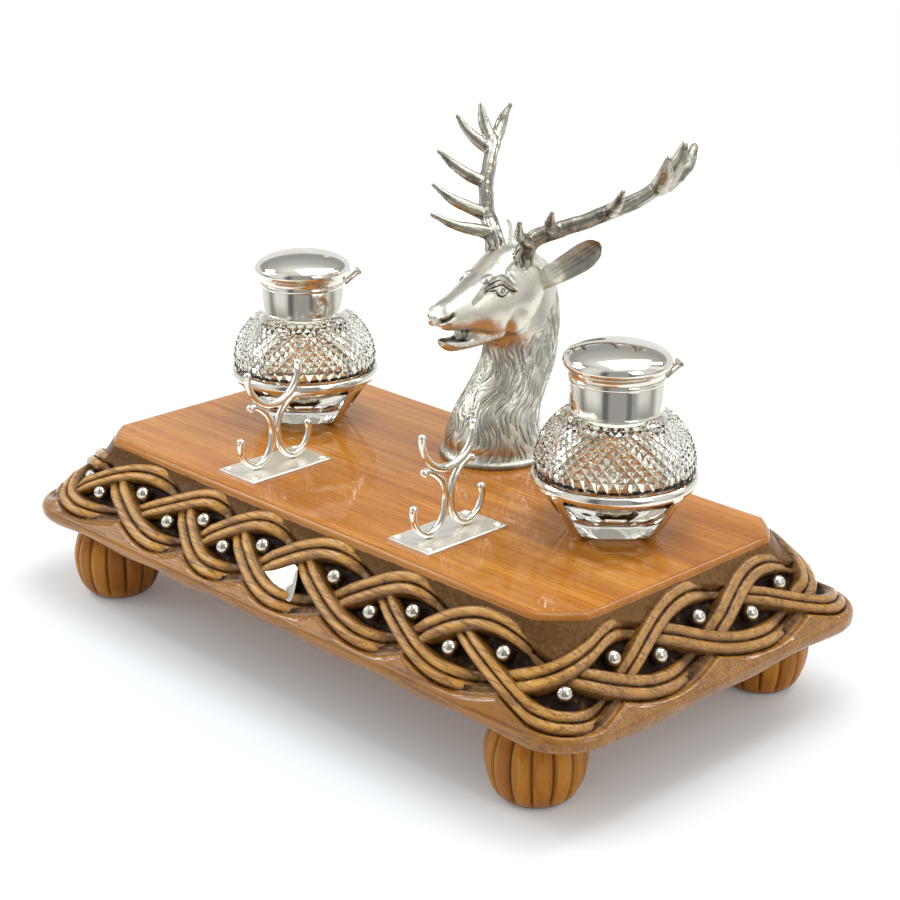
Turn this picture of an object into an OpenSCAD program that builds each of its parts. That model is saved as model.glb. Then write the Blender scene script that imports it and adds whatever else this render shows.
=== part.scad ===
// Desk inkstand: a carved oak plinth on four lobed feet, two lidded cut-glass
// ink bottles in silver galleries, two pen rests and a silver stag's head.
// Millimetres, +Z up, +X along the long side, the stag looks along -Y.

/* [Plinth] */
// Overall length of the plinth
plinth_l = 380; // [330:1:430]
// Overall width of the plinth
plinth_w = 204; // [185:1:225]
// Thickness of the plinth
plinth_t = 44.5; // [36:0.5:56]
// Width of the sloped border at the two ends
border_end = 30; // [24:0.5:34]
// Width of the sloped border at front and back
border_side = 27; // [22:0.5:31]
// Height of the plain rim below the border
rim_h = 8; // [5:0.5:11]
// Corner radius of the rim
rim_corner = 25; // [18:1:30]
// Cut across each corner of the flat field
field_cut = 14; // [10:1:20]
// Height of the rounded edge round the field
field_edge = 2.5; // [1.5:0.5:4]
// Radius of the domed silver pins in the plait
dome_r = 3.6; // [2.6:0.1:4]
// Radius of each domed pin's shank
shank_r = 0.9; // [0.7:0.1:1.2]
// Length of each domed pin's shank
shank_l = 9; // [6:1:14]
// Distance of each domed pin above or below the plait's middle line
pin_off = 4; // [3:0.5:5]
// Side length of the triangular plaque
plaque_side = 25; // [18:1:28]
// Thickness of the plaque
plaque_t = 1.6; // [1:0.1:2.5]
// Distance of the plaque's opening to the right of the middle
plaque_x = 5; // [0:0.5:12]

/* [Feet] */
// Height of each foot
foot_h = 37; // [30:0.5:45]
// Largest radius of each foot
foot_r = 22; // [18:0.5:24]
// Radius of each foot where it meets the plinth
foot_neck_r = 15; // [12:0.5:17]
// Radius of each foot on the ground
foot_tread_r = 12; // [9:0.5:14]
// Lobes round each foot
foot_lobes = 14; // [10:1:18]
// Depth of the groove between two lobes
lobe_depth = 1.3; // [0.5:0.1:2]
// Foot centre in from the plinth's end
foot_in_end = 43; // [38:1:55]
// Foot centre in from the plinth's front or back
foot_in_side = 27; // [26:1:40]
// Radius of the dowel that holds each foot
dowel_r = 5; // [4:0.5:7]
// Length of each dowel
dowel_l = 24; // [16:1:30]

/* [Ink bottles] */
// Distance of each bottle in from the plinth's end
bottle_end = 84.6; // [78:0.1:92]
// Distance of each bottle behind the plinth's middle
bottle_y = 17; // [8:0.5:24]
// Largest radius of the glass
glass_r = 36.6; // [34.8:0.1:38]
// Radius of the glass at its foot
glass_foot_r = 19.5; // [16:0.5:22]
// Height of the glass from its foot to where the neck starts
glass_body_h = 54.5; // [48:0.5:60]
// Height of the widest part above the glass's foot
glass_belly_h = 29; // [27:0.5:34]
// Radius of the glass neck
glass_neck_r = 19.3; // [17:0.1:22]
// Radius of the mouth
mouth_r = 14.5; // [11:0.5:16]
// Wall of the glass
glass_wall = 4; // [3:0.5:6]
// Thickness of the glass floor
glass_floor = 8; // [5:0.5:12]
// Height of the silver collar round the neck
collar_h = 14; // [11:0.5:18]
// Wall of the collar
collar_wall = 1.1; // [0.8:0.1:1.6]

/* [Galleries] */
// Outside radius of the gallery ring
ring_r = 37.4; // [36.6:0.1:39.5]
// Radial thickness of the gallery ring
ring_t = 1.8; // [1.2:0.1:2.6]
// Height of the gallery ring
ring_h = 5; // [3:0.5:7]
// Height of the ring's top above the field
ring_top = 28; // [24:0.5:29]
// Width of each strap leg
strap_w = 5; // [3:0.5:8]
// Thickness of each strap leg
strap_t = 1.5; // [1:0.1:2.2]
// Radius of the round seat under the glass
seat_r = 11; // [8:0.5:14]

/* [Lids] */
// Largest radius of the lid
lid_r = 24.2; // [22.8:0.1:26]
// Height of the lid
lid_h = 16.4; // [13:0.1:20]
// Height of the moulded rim below the lid's dome
lid_rim_h = 8.2; // [6:0.1:9]
// Wall of the lid
lid_wall = 1.3; // [0.9:0.1:2]
// Distance of the hinge pin from the bottle's axis
hinge_out = 28; // [27:0.1:31]
// Height of the hinge pin above the collar's top
hinge_up = 5.2; // [4.6:0.1:6.5]
// Direction of the hinge, turned from the long side
hinge_turn = 57; // [30:1:90]
// Radius of the hinge pin
hinge_pin_r = 0.6; // [0.5:0.05:0.75]
// Outside radius of the hinge knuckles
knuckle_r = 1.3; // [1.15:0.05:1.5]
// Length of all three knuckles together
hinge_w = 6.5; // [5.5:0.5:9]

/* [Pen rests] */
// Distance of each pen rest from the middle, along the length
rest_x = 59.6; // [52:0.1:64]
// Distance of each pen rest in front of the plinth's middle
rest_y = 41.4; // [38:0.1:46]
// Length of the rest's plate, front to back
plate_l = 49; // [46:0.5:56]
// Width of the rest's plate
plate_w = 26.6; // [20:0.2:32]
// Thickness of the rest's plate
plate_t = 1.6; // [1.2:0.1:2.4]
// Height of each scroll above the plate
scroll_h = 31; // [27:0.5:36]
// Reach of each scroll's lower hook from the middle
hook_out = 21.2; // [19:0.1:23]
// Height of each lower hook's tip above the plate
hook_h = 16; // [12:0.5:20]
// Reach of each scroll's upper end from the middle
curl_out = 14.3; // [12:0.1:16]
// Radius of the scroll's bar
bar_r = 1.65; // [1.2:0.05:1.9]
// Radius of the upper fork's curve
fork_r = 15.5; // [13:0.5:18]
// Radius of the fork's bar
fork_bar_r = 1.9; // [1.4:0.1:2.3]

/* [Stag] */
// Distance of the bust behind the plinth's middle
bust_y = 48; // [40:0.5:48]
// Height of the head's crown above the field
bust_h = 103; // [90:1:115]
// Radius of the bust's base
bust_base_r = 27; // [24:0.5:28]
// Thickness of the plain foot under the bust
bust_foot_t = 2.4; // [1.6:0.1:4]
// Radius of the antler beam above the brow
beam_r = 4.1; // [3.2:0.1:4.6]
// Radius of a tine where it leaves the beam
tine_r = 3; // [2.2:0.1:3.3]

/* [Fixings] */
// Radius of the stud that holds the bust
stud_r = 3; // [2.5:0.1:4]
// Radius of the washer under the plinth
washer_r = 9; // [8:0.5:10]
// Thickness of the washer
washer_t = 1.6; // [1:0.1:2.5]
// Width of the nut across its flats
nut_af = 10; // [9:0.5:12]
// Thickness of the nut
nut_t = 5; // [4:0.5:6]
// Radius of the screw that holds each gallery
screw_r = 1.8; // [1.4:0.1:2.2]
// Length of the gallery screw
screw_l = 16; // [12:1:20]
// Radius of the small pins that hold the rest plates
tack_r = 0.8; // [0.6:0.1:1]
// Length of the small pins
tack_l = 8; // [6:0.5:12]

/* [Hidden] */
$fn = 64;
fit = 0.05;
seat = 0.3;
oak = "peru";
silver = "silver";

// The antlers overhang the back, so the plinth stands forward of the origin by
// half of that overhang, and the origin is the middle of the whole footprint.
bust_k = bust_h / 103;
antler_back = bust_y + 73.1 * bust_k + 0.15 * tine_r;
centre_y = -(max(antler_back, plinth_w / 2) - plinth_w / 2) / 2;
top_z = foot_h + plinth_t;
half_l = plinth_l / 2;
half_w = plinth_w / 2;
bottle_x = half_l - bottle_end;
field_l = half_l - border_end;
field_w = half_w - border_side;
slope_top = top_z - field_edge;
slope_low = foot_h + rim_h;

// smooth curve through points
function cr(a, b, c, d, t) = 0.5 * (2 * b + (c - a) * t + (2 * a - 5 * b + 4 * c - d) * t * t
  + (3 * b - a - 3 * c + d) * t * t * t);
function curve(p, n) = concat([for (i = [0:len(p) - 2]) for (j = [0:n - 1])
  cr(i == 0 ? 2 * p[0] - p[1] : p[i - 1], p[i], p[i + 1],
     i + 2 < len(p) ? p[i + 2] : 2 * p[i + 1] - p[i], j / n)], [p[len(p) - 1]]);
function unit(v) = v / norm(v);
function xyz(p) = [p[0], p[1], p[2]];

// closed skin over a list of rings with equal counts, first ring's cap reversed
module skin(rings) {
  n = len(rings[0]);
  m = len(rings);
  pts = [for (r = rings) for (p = r) p];
  polyhedron(points = pts, faces = concat(
    [[for (i = [0:n - 1]) i]],
    [for (k = [0:m - 2]) for (i = [0:n - 1]) each
      [[k * n + i, (k + 1) * n + i, (k + 1) * n + (i + 1) % n],
       [k * n + i, (k + 1) * n + (i + 1) % n, k * n + (i + 1) % n]]],
    [[for (i = [0:n - 1]) (m - 1) * n + n - 1 - i]]), convexity = 8);
}

// round bar along a path of [x, y, z, radius], with rounded ends
module bar(path, up, n = 10) {
  m = len(path);
  t0 = unit(xyz(path[1]) - xyz(path[0]));
  t1 = unit(xyz(path[m - 1]) - xyz(path[m - 2]));
  a = path[0];
  b = path[m - 1];
  full = concat(
    [for (s = [[1, 0.25], [0.75, 0.7]])
      [a[0] - t0[0] * a[3] * s[0], a[1] - t0[1] * a[3] * s[0], a[2] - t0[2] * a[3] * s[0], a[3] * s[1]]],
    path,
    [for (s = [[0.75, 0.7], [1, 0.25]])
      [b[0] + t1[0] * b[3] * s[0], b[1] + t1[1] * b[3] * s[0], b[2] + t1[2] * b[3] * s[0], b[3] * s[1]]]);
  q = len(full);
  rings = [for (i = [0:q - 1])
    let (t = unit(xyz(full[min(i + 1, q - 1)]) - xyz(full[max(i - 1, 0)])),
         u = unit(up - (up * t) * t), v = cross(t, u))
    [for (j = [0:n - 1]) xyz(full[i]) + full[i][3] * (cos(360 * j / n) * u + sin(360 * j / n) * v)]];
  skin(rings);
}

module at_plinth() translate([0, centre_y, 0]) children();
module at_bottle(side) at_plinth() translate([side * bottle_x, bottle_y, top_z]) children();
module at_rest(side) at_plinth() translate([side * rest_x, -rest_y, top_z]) children();
module at_bust() at_plinth() translate([0, bust_y, top_z]) children();

// plinth outline: one quarter corner, rounded (b = 0) or cut straight (b = 1)
corner_n = 8;
function corner(hx, hy, c, b) = [for (j = [0:corner_n])
  let (a = 90 * j / corner_n, t = j / corner_n)
  [(1 - b) * (hx - c + c * cos(a)) + b * (hx - c * t),
   (1 - b) * (hy - c + c * sin(a)) + b * (hy - c + c * t)]];
function outline(hx, hy, c, b, z) =
  let (q = corner(hx, hy, c, b), r = [for (i = [corner_n:-1:0]) q[i]])
  concat([for (p = q) [p[0], p[1], z]], [for (p = r) [-p[0], p[1], z]],
         [for (p = q) [-p[0], -p[1], z]], [for (p = r) [p[0], -p[1], z]]);

// feet
foot_x = half_l - foot_in_end;
foot_y = half_w - foot_in_side;
foot_at = [[-foot_x, -foot_y], [foot_x, -foot_y], [-foot_x, foot_y], [foot_x, foot_y]];
dowel_in = dowel_l / 2;

// plait: where the lower openings lie along the middle line of the border,
// counted from the middle of the front towards +X and round the plinth
mid_l = half_l - border_end * 0.54;
mid_w = half_w - border_side * 0.53;
turn_r = 0.8 * rim_corner;
run_l = mid_l - turn_r;
run_w = mid_w - turn_r;
turn_l = PI * turn_r / 2;
loop_l = 4 * (run_l + run_w + turn_l);
function front(x) = x;
function right(y) = run_l + turn_l + run_w + y;
corner_a = run_l + turn_l / 2;
corner_b = right(run_w) + turn_l / 2;
corner_c = corner_b + 2 * run_l + turn_l;
corner_d = corner_c + 2 * run_w + turn_l;
back_cells = 7;
left_cells = 3;
cell_at = concat([front(plaque_x), front(0.359 * run_l * 1.08), front(0.705 * run_l), corner_a,
   right(-0.459 * run_w), right(0.419 * run_w), corner_b],
  [for (i = [1:back_cells]) corner_b + (corner_c - corner_b) * i / back_cells],
  [for (i = [1:left_cells]) corner_c + (corner_d - 0.5 * turn_r - corner_c) * i / left_cells],
  [loop_l - 0.9 * run_l, loop_l - 0.542 * run_l, loop_l - 0.268 * run_l, loop_l + plaque_x]);
cells = len(cell_at) - 1;
// point and outward direction on the middle line at length s
function on_loop(s) = let (q = s % loop_l, a = run_l, b = a + turn_l, c = b + 2 * run_w, d = c + turn_l,
    e = d + 2 * run_l, f = e + turn_l, g = f + 2 * run_w, h = g + turn_l)
  q < a ? [q, -mid_w, -90] :
  q < b ? turned(run_l, -run_w, -90 + 90 * (q - a) / turn_l) :
  q < c ? [mid_l, -run_w + q - b, 0] :
  q < d ? turned(run_l, run_w, 90 * (q - c) / turn_l) :
  q < e ? [run_l - (q - d), mid_w, 90] :
  q < f ? turned(-run_l, run_w, 90 + 90 * (q - e) / turn_l) :
  q < g ? [-mid_l, run_w - (q - f), 180] :
  q < h ? turned(-run_l, -run_w, 180 + 90 * (q - g) / turn_l) :
  [-run_l + (q - h), -mid_w, 270];
function turned(x, y, a) = [x + turn_r * cos(a), y + turn_r * sin(a), a];
mid_z = (slope_top + slope_low) / 2 + 1;
// a shape stood on the border's slope at length s, raised up the slope by v
module on_border(s, v) {
  p = on_loop(s);
  side = abs(sin(p[2]));
  run = border_side * side + border_end * (1 - side) - field_edge;
  tilt = atan2(run, slope_top - slope_low);
  translate([p[0], p[1], mid_z]) rotate([0, 0, p[2]]) rotate([0, 90 - tilt, 0])
    translate([-v, 0, 0]) children();
}

// ink bottle, heights above the glass's foot
glass_z = strap_t + seat;
belly = glass_r - glass_neck_r;
ring_in = ring_r - ring_t;
glass_seat_r = ring_in - 2 * seat;
seat_h = ring_top - glass_z;
low_h = seat_h - ring_h;
function low_r(t) = glass_foot_r + (glass_seat_r - glass_foot_r) * pow(t, 0.78);
glass_low = [for (t = [0, 0.07, 0.2, 0.4, 0.6, 0.8, 1]) [low_r(t), t * low_h]];
function shoulder(n, r0, r1, h0, h1) = [for (i = [0:n]) let (a = 90 * i / n)
  [r1 + (r0 - r1) * pow(cos(a), 1.3), h0 + (h1 - h0) * sin(a)]];
glass_out = concat(glass_low, [[glass_seat_r, seat_h + seat]],
  shoulder(9, glass_r, glass_neck_r, glass_belly_h, glass_body_h));
collar_z = glass_body_h;
collar_top = collar_z + collar_h;
lip_t = 0.9;
glass_top = collar_top - lip_t - 0.2;
hollow_r = glass_r - glass_wall;
glass_in = concat([[mouth_r, glass_top]],
  [for (p = [for (i = [8:-1:0]) shoulder(8, hollow_r, mouth_r, glass_belly_h - 1, glass_body_h - glass_wall / 2)[i]]) p],
  [for (t = [0.8, 0.55, 0.3, 0.1]) [low_r(t) - glass_wall * 1.15, glass_floor + t * (glass_belly_h - 6 - glass_floor)]],
  [[glass_foot_r - glass_wall - 4, glass_floor], [0, glass_floor]]);
flat_low = glass_foot_r - 1.2;
flat_high = glass_seat_r - 1.6;
flat_tilt = atan2(flat_high - flat_low, low_h);

// lid and hinge, heights above the collar's top
lid_gap = 0.2;
collar_in = glass_neck_r + seat;
collar_r = collar_in + collar_wall;
rim_r = collar_r + 0.8;
dome_h = lid_h - lid_rim_h;
lid_out = concat([[rim_r - 0.5, 0], [rim_r, 0.4], [rim_r, 1.5], [rim_r - 0.5, 2.1], [rim_r - 0.3, 3.8],
   [rim_r + (lid_r - rim_r) * 0.45, lid_rim_h - 2.4], [lid_r - 0.3, lid_rim_h - 1.2]],
  [for (a = [0:9:90]) [lid_r * cos(a), lid_rim_h + dome_h * sin(a)]]);
lid_in_r = rim_r - 2.2;
lid_in = concat([for (a = [90:-15:0]) [lid_in_r * cos(a), lid_rim_h - 1 + (dome_h - lid_wall + 1) * sin(a)]],
  [[lid_in_r, 0]]);
knuckle_mid = hinge_w * 0.4;
knuckle_end = (hinge_w - knuckle_mid) / 2 - 0.15;
leaf_t = 0.7;
module knuckle(y0, y1) translate([hinge_out, y0, hinge_up]) rotate([-90, 0, 0])
  cylinder(r = knuckle_r, h = y1 - y0, $fn = 32);
module pin_hole() translate([hinge_out, -hinge_w, hinge_up]) rotate([-90, 0, 0])
  cylinder(r = hinge_pin_r + fit, h = 2 * hinge_w, $fn = 32);
module leaf(p, w) rotate([90, 0, 0]) translate([0, 0, -w / 2]) linear_extrude(w)
  polygon(concat(p, [for (i = [len(p) - 1:-1:0]) p[i] + leaf_t * [-0.7, 0.7]]));

// pen rest, heights above the plate
wide = bar_r + 0.2;
scroll_path = curve([
  [0, curl_out, scroll_h, bar_r * 1.25], [0, curl_out * 0.76, scroll_h * 0.99, bar_r * 0.85],
  [0, curl_out * 0.47, scroll_h * 0.9, bar_r], [0, curl_out * 0.24, scroll_h * 0.77, bar_r],
  [0, wide, scroll_h * 0.61, bar_r], [0, wide + 0.1, scroll_h * 0.45, bar_r],
  [0, wide + 1.5, scroll_h * 0.25, bar_r], [0, hook_out * 0.34, scroll_h * 0.1, bar_r],
  [0, hook_out * 0.55, bar_r - 0.1, bar_r], [0, hook_out * 0.78, bar_r + hook_h * 0.13, bar_r * 0.95],
  [0, hook_out * 0.95, hook_h * 0.52, bar_r * 0.85], [0, hook_out, hook_h * 0.85, bar_r * 0.85],
  [0, hook_out - 0.5, hook_h, bar_r * 1.15]], 3);
fork_touch = bar_r + fork_bar_r + 0.12;
fork_z = scroll_h * 0.95 + sqrt(pow(fork_r + fork_touch, 2) - pow(curl_out * 0.62, 2));
fork_path = [for (a = [-90:10:90]) [0, fork_r * sin(a) * (abs(a) > 80 ? 1.01 : 1),
  fork_z - fork_r * cos(a) + (abs(a) > 80 ? 1.2 : 0), fork_bar_r * (1 - 0.28 * pow(abs(a) / 90, 2))]];
tack_at = [for (x = [-1, 1]) for (y = [-1, 1]) [x * (plate_w / 2 - 3.2), y * (plate_l / 2 - 3.6)]];

// stag: points are [front y, z, back y, z, half width] above the base, in
// millimetres for a bust 103 high, and bust_k brings them to size
function swell(a, p) = sign(sin(a)) * pow(abs(sin(a)), p);
function section(s, k, n = 20, p = 1) = let (f = [s[0], s[1]] * k, b = [s[2], s[3]] * k, w = s[4] * k,
    m = (f + b) / 2, h = (b - f) / 2)
  [for (i = [0:n - 1]) let (a = 360 * i / n, q = m + h * cos(a)) [-w * swell(a, p), q[0], q[1]]];
neck_sections = curve([[-24.5, 5.5, 24.5, 5.5, 24.6], [-24.5, 12, 22.5, 12, 23.2], [-20, 24, 24.5, 24, 20],
  [-12, 34, 32, 36, 18.4], [-5.5, 44, 37.6, 48, 16.8], [-3.4, 54, 40, 62, 15.6],
  [-6, 62, 38.6, 77, 15.2], [-4, 78, 34, 90, 13.5], [6, 92, 24, 97.5, 8]], 2);
head_sections = curve([[-41.8, 77.6, -41.6, 74.6, 3.6], [-39.6, 80.6, -40, 70.9, 7.2],
  [-34.5, 83.2, -33.5, 68.8, 8.4], [-26, 86, -22, 66, 9.4], [-17, 90, -12, 62, 11.6],
  [-8, 95.6, -3, 59.5, 15], [1, 100.6, 5, 59, 16.6], [10, 102.8, 13, 62, 16.4],
  [20, 100.5, 20, 70, 13.5], [28, 92, 26, 78, 6]], 2);
jaw_sections = curve([[-36.6, 63.4, -36.2, 61.4, 2.6], [-33.5, 64.4, -32, 58.8, 5],
  [-26, 64, -24.5, 58, 6.4], [-17, 66, -14, 58.3, 8.4], [-7, 70, -3.5, 58.6, 11.5]], 2);
module scaled_skin(sections, n = 20, p = 1) skin([for (s = sections) section(s, bust_k, n, p)]);
brow = [7.8, -8.4, 92.4] * bust_k;
eye = [11.4, -8.6, 87] * bust_k;
coronet = [8.7, 9, 97.2];
function k4(p) = [p[0] * bust_k, p[1] * bust_k, p[2] * bust_k, p[3]];
module tine(a, b, c, r = 1) bar(curve([k4([a[0], a[1], a[2], tine_r * r]), k4([b[0], b[1], b[2], tine_r * 0.85 * r]),
  k4([c[0], c[1], c[2], tine_r * 0.45 * r])], 4), [0.3, -0.4, 1], 8);
beam_path = curve([k4([8.4, 9, 95.5, beam_r * 1.35]), k4([9.6, 9.6, 100.5, beam_r * 1.2]), k4([13.2, 11, 107, beam_r]),
  k4([22.9, 17, 112.6, beam_r * 0.94]), k4([32.5, 26, 117, beam_r * 0.9]), k4([41.4, 35, 122, beam_r * 0.92]),
  k4([49.5, 45, 127.6, beam_r * 0.88]), k4([57, 54.5, 135.4, beam_r * 0.8])], 3);
// lift raises the brow tine's tip, which differs between the two antlers
module antler(lift) {
  bar(beam_path, [0.2, -1, 0.4], 10);
  tine([12.6, 10.6, 105.4], [19, -3.6, 113.6 + lift * 0.5], [29, -14.2, 120 + lift]);
  tine([22.6, 16.8, 112.4], [31.5, 4, 121.8], [39.2, -3.4, 127.4]);
  tine([41, 34.6, 121.8], [52, 27, 130.4], [60.6, 20.6, 136.8]);
  tine([55.4, 52.4, 133.4], [63.6, 46.4, 143], [69.4, 41.4, 150.6]);
  tine([56, 53.4, 134.4], [63.4, 56.4, 146.6], [67.6, 57.4, 155.4], 1.05);
  tine([56.4, 53.8, 134.6], [59.6, 64.4, 144.4], [58.8, 72.2, 151.2]);
}
ear_path = curve([[13.6, 19.5, 87, 3.4], [17.4, 24, 90, 3.8], [21.4, 28.8, 93.6, 6.2], [25.6, 33.6, 97.6, 6.8],
  [29, 37.4, 101.4, 5.2], [30.9, 39.4, 103.6, 1.6]], 3);
module ear() {
  along = unit([16.2, 18.7, 15.6]);
  flat = unit([0.75, -0.66, 0] - ([0.75, -0.66, 0] * along) * along);
  wide = cross(along, flat);
  skin([for (p = ear_path) [for (i = [0:13]) bust_k * (xyz(p) + p[3] * wide * sin(360 * i / 14)
    + (0.9 + 0.2 * p[3]) * flat * cos(360 * i / 14))]]);
}

// fixings
nut_r = nut_af / sqrt(3);
well_r = washer_r + 1.5;
web_t = 14;
well_z = top_z - web_t;
stud_up = 16;

module plinth() color(oak) at_plinth() difference() {
  skin([outline(half_l - 2, half_w - 2, rim_corner - 2, 0, foot_h),
        outline(half_l, half_w, rim_corner, 0, foot_h + 2),
        outline(half_l, half_w, rim_corner, 0, slope_low - 1.5),
        outline(half_l - 1, half_w - 1, rim_corner - 0.5, 0, slope_low),
        outline(field_l + field_edge * 0.6, field_w + field_edge * 0.6, field_cut + 4, 0.7, slope_top),
        outline(field_l, field_w, field_cut, 0.9, top_z)]);
  for (f = foot_at) translate([f[0], f[1], foot_h - 1]) cylinder(r = dowel_r + fit, h = dowel_in + 1.5);
  translate([0, bust_y, foot_h - 1]) cylinder(r = well_r, h = well_z - foot_h + 1);
  translate([0, bust_y, foot_h]) cylinder(r = stud_r + fit, h = plinth_t + 1);
  for (s = [-1, 1]) translate([s * bottle_x, bottle_y, top_z - screw_l]) cylinder(r = screw_r + fit, h = screw_l + 1);
  for (s = [-1, 1]) for (t = tack_at) translate([s * rest_x + t[0], t[1] - rest_y, top_z - tack_l])
    cylinder(r = tack_r + fit, h = tack_l + 1, $fn = 24);
}

function foot_side(h) = let (t = h / foot_h)
  t < 0.55 ? foot_tread_r + (foot_r - foot_tread_r) * sqrt(1 - pow(1 - t / 0.55, 2)) :
  foot_neck_r + (foot_r - foot_neck_r) * pow(cos(90 * (t - 0.55) / 0.45), 0.7);
module foot(i) color(oak) at_plinth() translate([foot_at[i][0], foot_at[i][1], 0]) difference() {
  skin([for (t = [0, 0.03, 0.1, 0.22, 0.38, 0.55, 0.72, 0.86, 0.96, 1]) let (r = foot_side(t * foot_h), m = 4 * foot_lobes)
    [for (j = [0:m - 1]) let (a = 360 * j / m, d = (j % 4 == 0 ? 1 : j % 4 == 2 ? 0 : 0.2) * lobe_depth * r / foot_r)
      [(r - d) * cos(a), (r - d) * sin(a), t * foot_h]]]);
  translate([0, 0, foot_h - dowel_in - 0.5]) cylinder(r = dowel_r + fit, h = dowel_in + 1);
}
module foot_front_left() foot(0);
module foot_front_right() foot(1);
module foot_back_left() foot(2);
module foot_back_right() foot(3);
module foot_dowels() color("tan") at_plinth() for (f = foot_at)
  translate([f[0], f[1], foot_h - dowel_in]) cylinder(r = dowel_r, h = dowel_l);

module dome_pin() {
  rotate_extrude($fn = 24) polygon(concat([for (a = [0:22.5:90]) [dome_r * cos(a), dome_r * 0.85 * sin(a)]],
    [[0, -shank_l], [shank_r, -shank_l + 2.5], [shank_r, 0]]));
}
// one silver pin in each opening of the plait, from length a to length b
module border_pins(a, b) color(silver) at_plinth() {
  for (i = [1:cells - 1]) if (cell_at[i] > a && cell_at[i] < b) on_border(cell_at[i], -pin_off) dome_pin();
  for (i = [0:cells - 1]) let (m = (cell_at[i] + cell_at[i + 1]) / 2)
    if (m > a && m < b) on_border(m, pin_off) dome_pin();
}
// the corners' pins count with the two long sides
past = 0.4 * turn_r;
module border_pins_front() { border_pins(0, corner_a + past); border_pins(corner_d - 1.5 * past, 2 * loop_l); }
module border_pins_right() border_pins(corner_a + past, corner_b - past);
module border_pins_back() border_pins(corner_b - past, corner_c + past);
module border_pins_left() border_pins(corner_c + past, corner_d - 1.5 * past);
module plaque() color(silver) at_plinth() on_border(cell_at[0], -plaque_side / 5) rotate([0, 0, 90]) linear_extrude(plaque_t)
  polygon([[-plaque_side / 2, -plaque_side * 0.16], [plaque_side / 2, -plaque_side * 0.24], [plaque_side * 0.04, plaque_side * 0.34]]);

module rest_plate(s) color(silver) at_rest(s) difference() {
  translate([-plate_w / 2, -plate_l / 2, 0]) cube([plate_w, plate_l, plate_t]);
  for (t = tack_at) translate([t[0], t[1], -1]) cylinder(r = tack_r + fit, h = plate_t + 2, $fn = 24);
}
module rest_scrolls(s) color(silver) at_rest(s) translate([0, 0, plate_t]) {
  bar(scroll_path, [1, 0, 0], 10);
  mirror([0, 1, 0]) bar(scroll_path, [1, 0, 0], 10);
}
module rest_fork(s) color(silver) at_rest(s) translate([0, 0, plate_t]) bar(fork_path, [1, 0, 0], 12);
module rest_plate_left() rest_plate(-1);
module rest_plate_right() rest_plate(1);
module rest_scrolls_left() rest_scrolls(-1);
module rest_scrolls_right() rest_scrolls(1);
module rest_fork_left() rest_fork(-1);
module rest_fork_right() rest_fork(1);
module rest_tacks() color(silver) for (s = [-1, 1]) at_rest(s) for (t = tack_at) translate([t[0], t[1], plate_t])
  rotate_extrude($fn = 24) polygon([[0, 0.9], [1, 0.7], [1.6, 0], [tack_r, 0], [tack_r, 1 - tack_l], [0, -tack_l + 0.2]]);

module gallery_ring(s) color(silver) at_bottle(s) translate([0, 0, ring_top - ring_h]) rotate_extrude()
  polygon([[ring_in, 0], [ring_in + ring_t * 0.5, 0], [ring_r, ring_h * 0.25], [ring_r, ring_h * 0.75],
    [ring_in + ring_t * 0.6, ring_h], [ring_in, ring_h]]);
strap_in = [for (p = glass_low) [p[0] + 0.9, p[1] + glass_z]];
module gallery_straps(s) color(silver) at_bottle(s) difference() {
  union() {
    for (a = [0:90:270]) rotate([0, 0, a]) rotate([90, 0, 0]) translate([0, 0, -strap_w / 2]) linear_extrude(strap_w)
      polygon(concat([[seat_r - 2, strap_t], [strap_in[0][0] - 1, strap_t]],
        [for (i = [1:len(strap_in) - 2]) strap_in[i]], [[ring_in + 0.1, ring_top - ring_h], [ring_in + 0.1 + strap_t, ring_top - ring_h]],
        [for (i = [len(strap_in) - 2:-1:1]) strap_in[i] + [strap_t * 0.95, -strap_t * 0.55]],
        [[strap_in[0][0] + strap_t * 0.9, 0], [seat_r - 2, 0]]));
    cylinder(r = seat_r, h = strap_t);
  }
  translate([0, 0, -1]) cylinder(r = screw_r + fit, h = strap_t + 2);
  translate([0, 0, strap_t - head_h]) cylinder(r1 = screw_r + fit, r2 = screw_r + head_h + fit, h = head_h);
}
head_h = strap_t - 2 * fit;
module gallery_screws() color("gold") for (s = [-1, 1]) at_bottle(s) translate([0, 0, strap_t]) rotate_extrude()
  polygon([[0, 0], [screw_r + head_h, 0], [screw_r, -head_h], [screw_r, 2 - screw_l], [0, 0.4 - screw_l]]);
module gallery_ring_left() gallery_ring(-1);
module gallery_ring_right() gallery_ring(1);
module gallery_straps_left() gallery_straps(-1);
module gallery_straps_right() gallery_straps(1);

module stag_bust() color(silver) at_bust() difference() {
  union() {
    cylinder(r = bust_base_r, h = bust_foot_t);
    translate([0, 0, bust_foot_t - 0.4]) cylinder(r1 = bust_base_r - 0.6, r2 = 24.4 * bust_k, h = 6 * bust_k - bust_foot_t);
    scaled_skin(neck_sections);
    scaled_skin(head_sections, 20, 0.8);
    scaled_skin(jaw_sections, 14);
    for (m = [0, 1]) mirror([m, 0, 0]) {
      translate(brow) rotate([0, 0, 14]) scale([0.6, 1.1, 0.5]) sphere(r = 6 * bust_k, $fn = 12);
      translate(eye) sphere(r = 3 * bust_k, $fn = 12);
    }
  }
  translate([0, 0, -1]) cylinder(r = stud_r + fit, h = stud_up + 2);
}
module stag_ear_left() color(silver) at_bust() ear();
module stag_ear_right() color(silver) at_bust() mirror([1, 0, 0]) ear();
module antler_left() color(silver) at_bust() antler(2.5);
module antler_right() color(silver) at_bust() mirror([1, 0, 0]) antler(-3.5);
module stag_stud() color("dimgray") at_bust() translate([0, 0, -web_t - washer_t - nut_t - 2])
  cylinder(r = stud_r, h = web_t + washer_t + nut_t + 2 + stud_up);
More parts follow.
